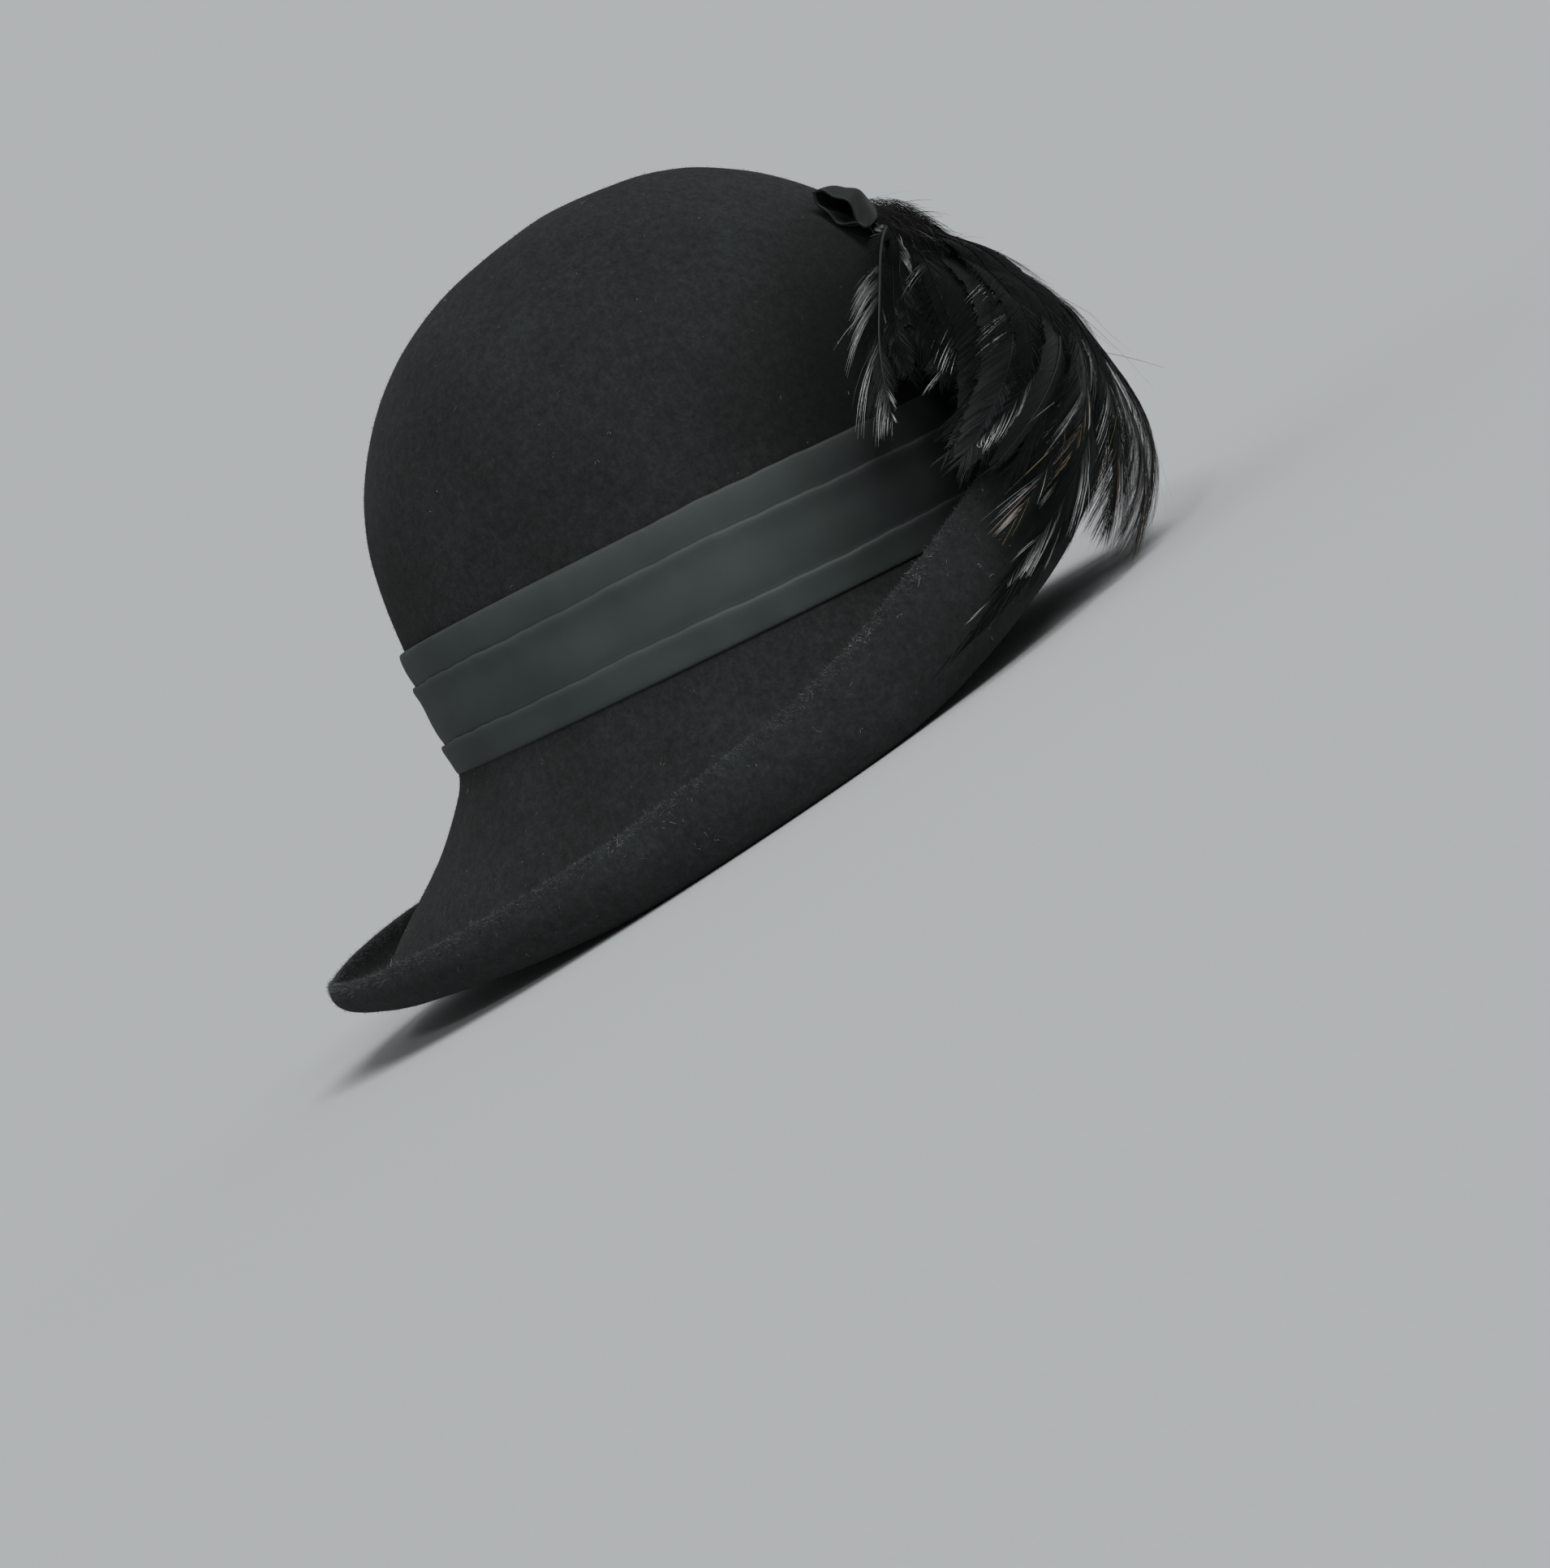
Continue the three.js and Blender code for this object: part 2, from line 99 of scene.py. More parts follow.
# Places where it has gathered: degrees round the hat and depth below the edge, each of one size.
LINT_SPOTS = ((80, 0), (111, 1), (103, 13), (105, 2), (68, 0), (55, 22))
LINT_SPOT_SIZE = 3

# Face of the ribbon band, lower edge to upper: height and how far it stands off the felt.
# The two folds point up: a rounded ridge, a narrow slot behind it, then the next tuck in shade.
BAND_FACE = (
    (0.35, 0.6), (0.4, 0.9), (0.65, 1.15), (1.1, 1.3), (2.2, 1.45), (4.5, 1.65), (6.6, 1.9),
    (8.3, 2.15), (9.3, 2.2), (9.95, 2.05), (10.25, 1.7), (10.1, 1.4), (9.3, 1.2), (8.7, 1.1),
    (9.3, 0.9), (10.4, 0.85), (11.4, 1.0), (12.6, 1.25), (14.5, 1.5), (17.5, 1.75), (20.5, 1.8),
    (23, 1.75), (25.5, 1.95), (27.4, 2.25), (28.6, 2.35), (29.3, 2.15), (29.65, 1.75), (29.5, 1.45),
    (28.7, 1.2), (28.1, 1.1), (28.7, 0.9), (29.9, 0.85), (31, 1.0), (32.2, 1.2), (34.5, 1.45),
    (37, 1.5), (38.8, 1.4), (39.4, 1.25), (39.75, 1.05), (39.9, 0.75),
)
BAND_BACK = ((39.8, 0.5), (39.4, 0.42), (26, 0.42), (13, 0.42), (0.8, 0.42), (0.45, 0.48))
RIB_PITCH = 0.65
# How hand-laid tucks wander up and down, and how they puff: size, waves round, lag with height, start.
# They wander fully from this height up, and puff where they stand off the felt by this much.
TUCK_WANDER = ((0.35, 3, 0.1, 0), (0.25, 7, 0.05, 1), (0.12, 23, 0.08, 0), (0.08, 61, 0.1, 2))
TUCK_PUFF = ((0.2, 5, 0.1, 0), (0.14, 13, -0.13, 0), (0.08, 37, 0.06, 0))
WANDER_FROM = 6
PUFF_AT = (1.3, 2.1)

# Folded loop at the feathers' root: where it sits, its size along the slope, off the crown and
# across, the tail that runs in under the feathers, where and how far that narrows and how far it
# sinks, how far the fold droops over its open end, how deep its creases are, how thick the ribbon is
# and how light, against that of the band; being darker is painted shade.
LOOP = {
    "turn": math.radians(31.5), "height": 95.5, "off": 6.6, "length": 18.5, "depth": 11, "width": 10.5,
    "tail": 12.5, "pinch": (0.2, 1.1), "narrowing": 0.72, "sink": 6.2, "droop": 4.2, "crease": 0.16,
    "thickness": 0.9, "lightness": 0.3,
}
LOOP_CORNERS = 48
LOOP_ROWS = 13


class Plume(NamedTuple):
    """A feather: root and tip in degrees round the crown and height, its curve, its width and its roll."""

    turn: float
    height: float
    tip_turn: float
    tip_height: float
    sweep: float  # over 1 turns late, under 1 early
    arch: float  # how far it bows off what it lies over
    curl: float  # how far the tip draws in
    width: float
    roll: float  # about the shaft, in degrees


def plumes(*rows):
    """Feathers from rows of their measures."""
    return tuple(Plume(*row) for row in rows)


UPPER_TIER = plumes(
    (20, 89, 59, 35, 0.45, 0, 0, 20, -6),
    (18, 90, 46, 40, 0.9, 1, 0, 21, -8),
    (16, 90, 52, 27, 1.3, 1, 0, 22, -6),
    (14, 91, 58, 17, 1.7, 2, 0, 23, -8),
    (12, 92, 44, 24, 1.5, 3, 0, 22, -8),
    (10, 92, 31, 30, 1.3, 4.6, 0, 22, 4),
    (8, 93, 19, 33, 1.2, 3, 0, 22, -6),
    (6, 93, 7, 33, 1, 2.6, 0, 22, 4),
    (4, 92, -6, 35, 1, 3, 0, 22, -4),
    (2, 91, -20, 36, 1, 3, 0, 21, 8),
    (0, 89, -36, 38, 0.8, 1, 0, 20, 6),
)
LOWER_TIER = plumes(
    (13, 72, 55, 12, 2, 2, 0, 15, -10),
    (12, 71, 57, -4, 1.9, 2, 0, 18, 8),
    (10, 70, 47, -1, 1.7, 4, 0, 18, -8),
    (9, 69, 66, -20, 2, 3, 0, 17, 6),
    (8, 69, 73, -27, 2.1, 2, 0, 13, 4),
    (9, 70, 39, -14, 1.6, 6, 0, 20, 8),
    (8, 71, 28, -24, 1.4, 7, 4, 21, -6),
    (7, 72, 18, -25, 1.2, 9, 10, 22, 6),
    (5, 72, 7, -25, 1, 10, 13, 22, -4),
    (3, 71, -4, -24, 1, 9, 11, 22, 4),
    (1, 70, -16, -22, 1, 7, 6, 21, -6),
    (0, 69, -30, -14, 1, 5, 0, 20, 6),
)
# Short dark feathers close to the crown, under the first of the upper tier.
UNDER_TIER = plumes(
    (21, 88, 52, 44, 0.55, -0.6, 0, 14, 0),
    (20, 88, 46, 48, 0.6, -0.8, 0, 15, 4),
    (19, 88, 41, 44, 0.7, -0.6, 0, 15, -4),
    (18, 88, 50, 52, 0.6, -1, 0, 14, 0),
    (17, 88, 36, 50, 0.8, -0.6, 0, 15, 0),
    (22, 90, 44, 58, 0.7, 0, 0, 12, 6),
    (14, 90, 28, 56, 0.9, 1, 0, 14, 0),
    (6, 90, 6, 58, 1, 1, 0, 14, 0),
    (9, 89, 12, 50, 1, 2.6, 0, 20, 0),
    (3, 89, 2, 50, 1, 2.6, 0, 20, 0),
)
# Where a tier bows most: 1 in the middle, 2 nearer the tips. It also starts the tier's random draws.
UPPER_BOW = 1
LOWER_BOW = 2
UNDER_SEED = 3
# How far feathers lie off the hat, by what share of the shaft they reach the wall's slope, how late
# the tip curls, how low a barb may hang over the floor.
FEATHER_CLEAR = 4.4
FEATHER_RISE = 0.3
FEATHER_CURL_EASE = 6
LOWEST_BARB = 0.8
# How far the upper tier's feathers stand over the backing, and the degrees round the hat where their
# tips have to be for it: none at the first, all of it this far in front of that.
ROOT_SWELL = 3.5
SWELL_FROM = 55
SWELL_SPAN = 25
BACKING = {"turn": math.radians(10), "height": 79, "reach": 80, "half_size": (28, 20, 9), "off": 0.6}
BACKING_COLOUR = (0.004, 0.0038, 0.0035, 1)
NEARBY = 0.01


class Look(NamedTuple):
    """How a feather differs from a plain one; of two values the first is for the side toward the back."""

    # Pale barbs are painted glints: a pale tone where light would catch the glossy barbs.
    pale: tuple = (0.03, 0.03)  # share of clumps with pale barbs
    lengths: tuple = ((0.05, 1),)  # lengths of the shaft, as shares, where barbs may be pale
    gleam: float = 0.7  # where along a barb it is palest
    warm: float = 0  # share of golden and reddish barbs there
    between: float = 1  # length of the barbs outside those lengths
    width: tuple = (1, 1)  # width of the vane
    close: float = 0.5  # part of the vane's width that is closed
    shade: float = 1  # lightness of the closed part
    dense: float = 1  # number of barbs
    clump: int = 24  # barbs that cling together
    spread: float = 1  # angle of the barbs to the shaft
    quill: float = 0.3  # thickness of the shaft
    paired: bool = True  # whether a plain feather lies under it


UPPER_LOOKS = {
    0: Look(
        pale=(0.55, 0.12), lengths=((0.08, 0.27), (0.31, 0.5), (0.64, 1)), between=0.45,
        width=(0.9, 0.35), close=0.3, dense=2, clump=16, spread=0.8, quill=0.6, paired=False,
    ),
    1: Look(pale=(0.22, 0.03), lengths=((0.3, 1),), width=(0.9, 0.8), close=0.3, clump=4),
    2: Look(pale=(0.06, 0), close=0.7, clump=30),
    # Its pale barbs paint the sheen band across this feather's vane.
    3: Look(pale=(0.8, 0), lengths=((0.3, 0.54),), gleam=0.6, close=0.8, shade=5, clump=14, quill=0.5),
}
OVER_BRIM = Look(
    pale=(0.6, 0.1), lengths=((0.55, 0.95),), warm=0.02, width=(1, 0.7), close=0.3, dense=1.5, clump=10,
    spread=0.55,
)
SWEPT_BACK = Look(
    pale=(0.4, 0.25), lengths=((0.55, 1),), width=(0.6, 1), close=0.6, dense=1.3, spread=0.5, paired=False,
)
FAN = Look(pale=(0.55, 0.2), lengths=((0.4, 1),), warm=0.01, close=0.15, dense=1.4, clump=9, spread=0.5)
LOWER_LOOKS = {
    0: Look(
        pale=(0.2, 0.05), lengths=((0.6, 1),), width=(1, 0.6), close=0.8, shade=4, clump=18, spread=0.6,
        quill=0.8,
    ),
    1: OVER_BRIM,
    2: OVER_BRIM._replace(lengths=((0.55, 1),), warm=0.03, width=(1, 0.8)),
    3: SWEPT_BACK,
    4: SWEPT_BACK._replace(width=(0.6, 1.2)),
    5: FAN,
    6: FAN._replace(warm=0.015),
    7: FAN,
}
UPPER_PLAIN = Look()
LOWER_PLAIN = Look(close=0.3, spread=0.6)
# A feather that another covers has this share of the barbs.
HIDDEN = 0.65

# How finely a feather is built.
SHAFT_POINTS = 60
VANE_ROWS = 64
VANE_STEPS = 6
BARB_STEPS = 5
QUILL_SIDES = 5
# Thickness of the shaft at its tip, and the thickness from which it is horn grey.
QUILL_TIP = 0.08
THICK_QUILL = 0.5
# Angle of the barbs in degrees at shares of the shaft, how much they droop, colours of the light ones:
# the tint of the painted glint, then golden and reddish barbs.
BARB_ANGLES = ((0, 54), (0.15, 40), (0.5, 30), (0.8, 22), (1, 12))
BARB_DROOP = 0.16
PAINTED_GLINT_TINT = (1, 1.02, 1.02)
GOLDEN_BARB = (0.4, 0.31, 0.17)
REDDISH_BARB = (0.24, 0.12, 0.09)

# Ragged barbs round the root: how many, degrees round the crown, heights and lengths.
TUFT = {"seed": 5, "barbs": 2400, "turn": (-10, 29), "height": (76, 100), "length": (5, 13)}
TUFT_TINT = (2.2, 1.9, 1.6)

# The barb that stands out in front: the feather of the upper tier it leaves, which way, how far.
LOOSE_BARB = {"feather": 6, "toward": (0.0, -0.86, -0.5), "length": 24, "sag": 4, "steps": 12}

# Painted shade round the feathers on felt and ribbon, in place of their shadow: middle of the place
# on the crown, how far it is darkest and how far it reaches, and how dark it is.
PAINTED_SHADE = {"turn": math.radians(40), "height": 38, "within": 30, "out_to": 84, "depth": 0.2}

# Where the lamps stand, as directions from the hat, and how wide they look in degrees.
KEY_FROM = (-0.5, -0.4, 0.72)
KEY_WIDTH = 36
WINDOW_FROM = (-0.75, 0.2, 0.55)
WINDOW_WIDTH = 9

# The floor's radius in metres, and the width of the ring round the disc that the hat stands on.
FLOOR_RADIUS = 40
FLOOR_RING = 38

# The camera: what it looks at, ahead of the hat's middle and over the head line, and its lens as the
# focal length and the height of the picture in pixels.
LOOK_AT = {"ahead": -14.6, "up": -44.6}
FOCAL_PIXELS = 3240
PICTURE_PIXELS = 1932
SENSOR = 36


class FeltSettings(bpy.types.PropertyGroup):
    """Colour and surface of the felt."""

    colour: bpy.props.FloatVectorProperty(
        name="Felt", description="Colour of the felt", subtype="COLOR", size=3, min=0, max=1,
        default=(0.0205, 0.0235, 0.023),
    )
    pale: bpy.props.FloatVectorProperty(
        name="Lint colour", description="Colour of the lint on the felt", subtype="COLOR", size=3,
        min=0, max=1, default=(0.42, 0.43, 0.42),
    )
    unevenness: bpy.props.FloatProperty(
        name="Unevenness", description="How far the blocked felt wanders from a smooth form",
        unit="LENGTH", default=0.5 * MM,
    )
    fibres: bpy.props.IntProperty(
        name="Fibres", description="Number of short fibres in the nap", default=60000,
    )
    fuzz: bpy.props.IntProperty(
        name="Edge fuzz", description="Number of worn fibres along the edge of the brim", default=20000,
    )
    lint: bpy.props.IntProperty(
        name="Lint", description="Number of pale fibres caught on the felt", default=1400,
    )


class BandSettings(bpy.types.PropertyGroup):
    """The ribbon of the band and the loop."""

    colour: bpy.props.FloatVectorProperty(
        name="Ribbon", description="Colour of the ribbon", subtype="COLOR", size=3, min=0, max=1,
        default=(0.047, 0.061, 0.058),
    )
    ribs: bpy.props.IntProperty(
        name="Ribs", description="Cross ribs round the band", default=870,
    )
    rib_depth: bpy.props.FloatProperty(
        name="Rib depth", description="Height of a rib over the groove beside it",
        unit="LENGTH", default=0.12 * MM,
    )


class FeatherSettings(bpy.types.PropertyGroup):
    """The feathers of the spray."""

    colour: bpy.props.FloatVectorProperty(
        name="Barb colour", description="Colour of the black barbs", subtype="COLOR", size=3,
        min=0, max=1, default=(0.0026, 0.003, 0.003),
    )
    barbs: bpy.props.IntProperty(
        name="Barbs", description="Barbs on each side of a feather", default=280,
    )
    barb_width: bpy.props.FloatProperty(
        name="Barb width", description="Width of a barb at its root", unit="LENGTH", default=0.14 * MM,
    )


class StageSettings(bpy.types.PropertyGroup):
    """Floor, light and camera."""

    air: bpy.props.FloatVectorProperty(
        name="Air", description="Colour of the even light and of the backdrop", subtype="COLOR", size=3,
        min=0, max=1, default=(0.44, 0.455, 0.462),
    )
    distance: bpy.props.FloatProperty(
        name="Camera distance", description="From the camera to the middle of its view",
        unit="LENGTH", default=0.8,
    )
    elevation: bpy.props.FloatProperty(
        name="Camera elevation", description="Of the camera over the hat's own head line",
        subtype="ANGLE", default=math.radians(4.4),
    )
    tilt: bpy.props.FloatProperty(
        name="Camera tilt", description="How far the hat leans back in the picture",
        subtype="ANGLE", default=math.radians(26),
    )
    key: bpy.props.FloatProperty(
        name="Key light", description="Light of the large soft lamp", default=0.7,
    )
    window: bpy.props.FloatProperty(
        name="Window", description="Light of the small window", default=0.12,
    )
    even: bpy.props.FloatProperty(
        name="Even light", description="Light from all round, against the backdrop", default=0.54,
    )


def hat_origin():
    """Middle of the head line in the row frame, from the box of the band."""
    low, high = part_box("hat_band")
    middle = (Vector(low) + Vector(high)) / 2
    return middle - Matrix.Rotation(REST_PITCH, 3, "X") @ Vector((0, 0, BAND_MIDDLE * MM))


HAT_ORIGIN = hat_origin()


def to_row(points):
    """Points of the upright hat, in millimetres, as points of the row frame in metres."""
    turn = np.array(Matrix.Rotation(REST_PITCH, 3, "X"))
    return np.asarray(points, float) @ turn.T * MM + np.array(HAT_ORIGIN)


def smoothstep(value, low, high):
    """Smooth rise from 0 to 1 between two values."""
    share = np.clip((np.asarray(value, float) - low) / (high - low), 0, 1)
    return share * share * (3 - 2 * share)


def unit(vectors):
    """Vectors of length 1."""
    return vectors / np.maximum(np.linalg.norm(vectors, axis=-1, keepdims=True), 1e-12)


def crown_at(height):
    """Reaches of the crown at heights, on a smooth line through its sections."""
    table = np.array(CROWN_SECTIONS, float)
    steps = table[:, 0]
    values = table[:, 1:]
    slopes = np.gradient(values, steps, axis=0)
    height = np.clip(np.asarray(height, float), steps[0], steps[-1])
    i = np.clip(np.searchsorted(steps, height, side="right") - 1, 0, len(steps) - 2)
    span = steps[i + 1] - steps[i]
    t = ((height - steps[i]) / span)[..., None]
    span = span[..., None]
    return (
        (2 * t**3 - 3 * t**2 + 1) * values[i]
        + (t**3 - 2 * t**2 + t) * span * slopes[i]
        + (3 * t**2 - 2 * t**3) * values[i + 1]
        + (t**3 - t**2) * span * slopes[i + 1]
    )


def placed(reach, turn, height, off):
    """Points of the upright hat from reaches, places round it, heights and a distance off it."""
    forward = np.cos(turn)
    lengthwise = np.where(forward >= 0, reach[..., 0], reach[..., 2])
    side = reach[..., 1]
    return np.stack([-(side + off) * np.sin(turn), -(lengthwise + off) * forward, height + 0 * turn], -1)


def on_crown(turn, height):
    """Points on the crown."""
    return placed(crown_at(height), turn, height, 0)


def edge_height(turn):
    """Height of the brim's edge at places round the hat."""
    front, side, back = EDGE_HEIGHT
    forward = np.cos(turn)
    bow = (front + back) / 2 - side
    lift = LEFT_LIP_LIFT * 2 * np.maximum(-np.sin(turn), 0) * np.maximum(-forward, 0)
    return side + (front - back) / 2 * forward + bow * forward**2 + lift


def on_rim(turn, depth):
    """Points below the edge of the brim by a depth."""
    reach = np.tile(RIM_REACH, (len(turn), 1))
    return placed(reach, turn, edge_height(turn) - depth, 0)


def rim_distance(points):
    """Distance in millimetres from points of the row frame to the edge of the brim."""
    rest = np.array(Matrix.Rotation(REST_PITCH, 3, "X"))
    upright = (points - np.array(HAT_ORIGIN)) @ rest / MM
    front, side, back = RIM_REACH
    lengthwise = np.where(upright[:, 1] < 0, front, back)
    turn = np.arctan2(-upright[:, 0] / side, -upright[:, 1] / lengthwise)
    return np.linalg.norm(upright - on_rim(turn, 0), axis=1)


def draped(turn, height, rise, off):
    """Points on what a feather lies over: the crown at its root, then the slope to the brim."""
    edge = edge_height(turn)
    reach = crown_at(np.maximum(height, 0))
    lower = (1 - smoothstep(height - edge, 0, DRAPE_SPAN)) * rise
    reach[..., :2] += (np.array(WALL_REACH) - reach[..., :2]) * lower[..., None]
    return placed(reach, turn, height, off)


def frame_on(surface, turn, height):
    """A surface at places: the points and the directions up its slope, across it and off it."""
    point = surface(turn, height)
    up = unit(surface(turn, height + NEARBY) - point)
    across = unit(surface(turn + NEARBY, height) - point)
    return point, up, across, unit(np.cross(up, across))


def read(items, name, width, kind=np.float32):
    """A property of a mesh's items as an array with a row for each."""
    values = np.empty(len(items) * width, kind)
    items.foreach_get(name, values)
    return values.reshape(-1, width)


def corner_points(mesh):
    """Places of a mesh's corners."""
    return read(mesh.vertices, "co", 3).astype(float)


def move_corners(mesh, points):
    """Moves a mesh's corners to the places in an array."""
    mesh.vertices.foreach_set("co", np.asarray(points, np.float32).ravel())
    mesh.update()


def colour_corners(mesh, tones):
    """Keeps a colour for each corner."""
    layer = mesh.attributes.new("tone", "FLOAT_COLOR", "POINT")
    layer.data.foreach_set("color", np.asarray(tones, np.float32).ravel())


def lay_flat(mesh, places):
    """Keeps each corner's place on the flat piece, in metres, as the mesh's UV."""
    corners = read(mesh.loops, "vertex_index", 1, np.int32)[:, 0]
    layer = mesh.uv_layers.new(name="UVMap")
    layer.data.foreach_set("uv", np.asarray(places, np.float32)[corners].ravel())


def new_object(name, vertices, faces, places=None, tones=None):
    """A mesh object from arrays in the row frame."""
    mesh = bpy.data.meshes.new(name)
    vertices = np.asarray(vertices, np.float32)
    faces = np.asarray(faces, np.int32)
    mesh.vertices.add(len(vertices))
    mesh.vertices.foreach_set("co", vertices.ravel())
    mesh.loops.add(faces.size)
    mesh.loops.foreach_set("vertex_index", faces.ravel())
    mesh.polygons.add(len(faces))
    mesh.polygons.foreach_set("loop_start", np.arange(0, faces.size, faces.shape[1], dtype=np.int32))
    if places is not None:
        lay_flat(mesh, places)
    if tones is not None:
        colour_corners(mesh, tones)
    mesh.update(calc_edges=True)
    mesh.validate()
    piece = bpy.data.objects.new(name, mesh)
    bpy.context.scene.collection.objects.link(piece)
    return piece


def strips(lines, across, widths):
    """Flat strips along lines of points: vertices and faces."""
    count, steps, _ = lines.shape
    side = across * widths[..., None] / 2
    vertices = np.stack([lines - side, lines + side], 2).reshape(-1, 3)
    first = (np.arange(count)[:, None] * steps + np.arange(steps - 1)[None, :]) * 2
    faces = np.stack([first, first + 1, first + 3, first + 2], -1).reshape(-1, 4)
    return vertices, faces


def pick(piece):
    """Leaves one piece selected and active."""
    bpy.ops.object.select_all(action="DESELECT")
    piece.select_set(True)
    bpy.context.view_layer.objects.active = piece


def edit(piece):
    """Opens a piece for editing, all of it selected."""
    pick(piece)
    bpy.ops.object.mode_set(mode="EDIT")
    bpy.ops.mesh.select_all(action="SELECT")


def apply_modifier(piece, name, kind, **values):
    """Gives the active piece a modifier and applies it."""
    modifier = piece.modifiers.new(name, kind)
    for key, value in values.items():
        setattr(modifier, key, value)
    bpy.ops.object.modifier_apply(modifier=name)


def primitive(name, add, **values):
    """A primitive mesh at the origin, opened for editing."""
    bpy.ops.object.select_all(action="DESELECT")
    add(location=(0, 0, 0), **values)
    piece = bpy.context.object
    piece.name = name
    piece.data.name = name
    edit(piece)
    return piece


def new_circle(name, corners):
    """An open circle of radius 1."""
    circle = {"vertices": corners, "radius": 1, "fill_type": "NOTHING"}
    return primitive(name, bpy.ops.mesh.primitive_circle_add, **circle)


def smooth(piece):
    """Smooth shading."""
    pick(piece)
    bpy.ops.object.shade_smooth()


def finish_piece(piece, material, replaced=None):
    """Material, body, slot and the CAD node that a piece stands for."""
    piece.data.materials.clear()
    piece.data.materials.append(material)
    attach(piece, "root")
    if replaced:
        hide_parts(replaced)


def scaled(colour, factor):
    """A colour made lighter or darker."""
    return tuple(min(1, part * factor) for part in colour)


class Nodes:
    """A material's node tree, built up node by node."""

    def __init__(self, name):
        self.material = bpy.data.materials.new(name)
        self.material.use_nodes = True
        self.tree = self.material.node_tree
        self.shader = self.tree.nodes["Principled BSDF"]

    def fill(self, socket, value):
        """Sets a socket to a value or links an output to it."""
        if isinstance(value, bpy.types.NodeSocket):
            self.tree.links.new(value, socket)
        else:
            socket.default_value = value

    def fill_named(self, node, sockets):
        """Fills sockets of a node by their names."""
        for name, value in sockets.items():
            self.fill(node.inputs[name.replace("_", " ")], value)

    def add(self, kind, **sockets):
        """A node with its sockets filled."""
        node = self.tree.nodes.new(kind)
        self.fill_named(node, sockets)
        return node

    def set(self, **sockets):
        """Fills the shader's sockets."""
        self.fill_named(self.shader, sockets)

    def place(self):
        """Places on the piece."""
        return self.add("ShaderNodeTexCoord").outputs["Object"]

    def flat(self):
        """Places on the flat piece."""
        return self.add("ShaderNodeUVMap").outputs["UV"]

    def lanes(self, scale):
        """Places on the flat piece, drawn out into lanes."""
        return self.add("ShaderNodeMapping", Vector=self.flat(), Scale=scale).outputs["Vector"]

    def noise(self, place, scale, detail=2, roughness=0.5):
        """Soft random values over places."""
        return self.add(
            "ShaderNodeTexNoise", Vector=place, Scale=scale, Detail=detail, Roughness=roughness,
        ).outputs["Fac"]

    def maths(self, operation, *values, kind="ShaderNodeMath", output="Value"):
        """The result of an operation on values and outputs; a socket given None is left as it is."""
        node = self.tree.nodes.new(kind)
        node.operation = operation
        for socket, value in zip(node.inputs, values):
            if value is not None:
                self.fill(socket, value)
        return node.outputs[output]

    def share(self, value, low, high):
        """How far a value has come from low to high."""
        return self.add("ShaderNodeMapRange", Value=value, From_Min=low, From_Max=high).outputs["Result"]

    def shades(self, share, colour, stops):
        """Shades of a colour along a share: where they are and how light."""
        node = self.add("ShaderNodeValToRGB", Fac=share)
        elements = node.color_ramp.elements
        while len(elements) < len(stops):
            elements.new(0.5)
        for element, (place, lightness) in zip(elements, stops):
            element.position = place
            element.color = (*scaled(colour, lightness), 1)
        return node.outputs["Color"]

    def bump(self, height, strength, depth, **under):
        """Normals of a fine relief, over those of another where it is given."""
        node = self.add("ShaderNodeBump", Strength=strength, Distance=depth * MM, Height=height, **under)
        return node.outputs["Normal"]

    def painted_shade(self, colour, place):
        """A colour darkened round the feathers: painted shade of the feathers on crown, band and brim."""
        spot = to_row(on_crown(np.array(PAINTED_SHADE["turn"]), np.array(float(PAINTED_SHADE["height"]))))
        gap = self.maths("DISTANCE", place, tuple(spot), kind="ShaderNodeVectorMath")
        share = self.add(
            "ShaderNodeMapRange", Value=gap, From_Min=PAINTED_SHADE["within"] * MM,
            From_Max=PAINTED_SHADE["out_to"] * MM, To_Min=PAINTED_SHADE["depth"], To_Max=1,
        )
        share.interpolation_type = "SMOOTHSTEP"
        values = (colour, None, None, share.outputs["Result"])
        return self.maths("SCALE", *values, kind="ShaderNodeVectorMath", output="Vector")


def felt_material(settings):
    """Napped wool felt: fine grain, soft blotches, painted shade round the feathers, matt with a faint
    bloom.
    """
    nodes = Nodes("wool_felt")
    place = nodes.place()
    grain = nodes.noise(place, scale=950, detail=4, roughness=0.65)
    blotch = nodes.noise(place, scale=380, detail=3, roughness=0.6)
    cloud = nodes.noise(place, scale=30)
    total = nodes.maths("MULTIPLY_ADD", cloud, 0.7, nodes.maths("ADD", grain, blotch))
    share = nodes.share(total, low=0.85, high=1.85)
    colour = nodes.shades(share, settings.colour, ((0, 0.5), (0.5, 1), (1, 1.7)))
    fibre = nodes.noise(place, scale=2100, detail=3, roughness=0.7)
    normal = nodes.bump(nodes.maths("ADD", fibre, grain), strength=0.4, depth=0.3)
    # Painted shade round the feathers darkens the felt's colour.
    nodes.set(Base_Color=nodes.painted_shade(colour, place), Normal=normal, Roughness=0.95)
    nodes.set(Specular_IOR_Level=0.1, Sheen_Weight=0.03, Sheen_Roughness=0.6)
    nodes.set(Sheen_Tint=(0.75, 0.8, 0.8, 1))
    return nodes.material


def fibre_material(name, colour, with_painted_shade):
    """Loose fibres of one colour, varied from fibre to fibre by place; those of the felt get its painted
    shade.
    """
    nodes = Nodes(name)
    place = nodes.place()
    shade = nodes.shades(nodes.noise(place, scale=300), colour, ((0.3, 0.55), (0.7, 1.4)))
    if with_painted_shade:
        # The felt's painted shade round the feathers.
        shade = nodes.painted_shade(shade, place)
    nodes.set(Base_Color=shade, Roughness=0.9, Specular_IOR_Level=0.1)
    return nodes.material


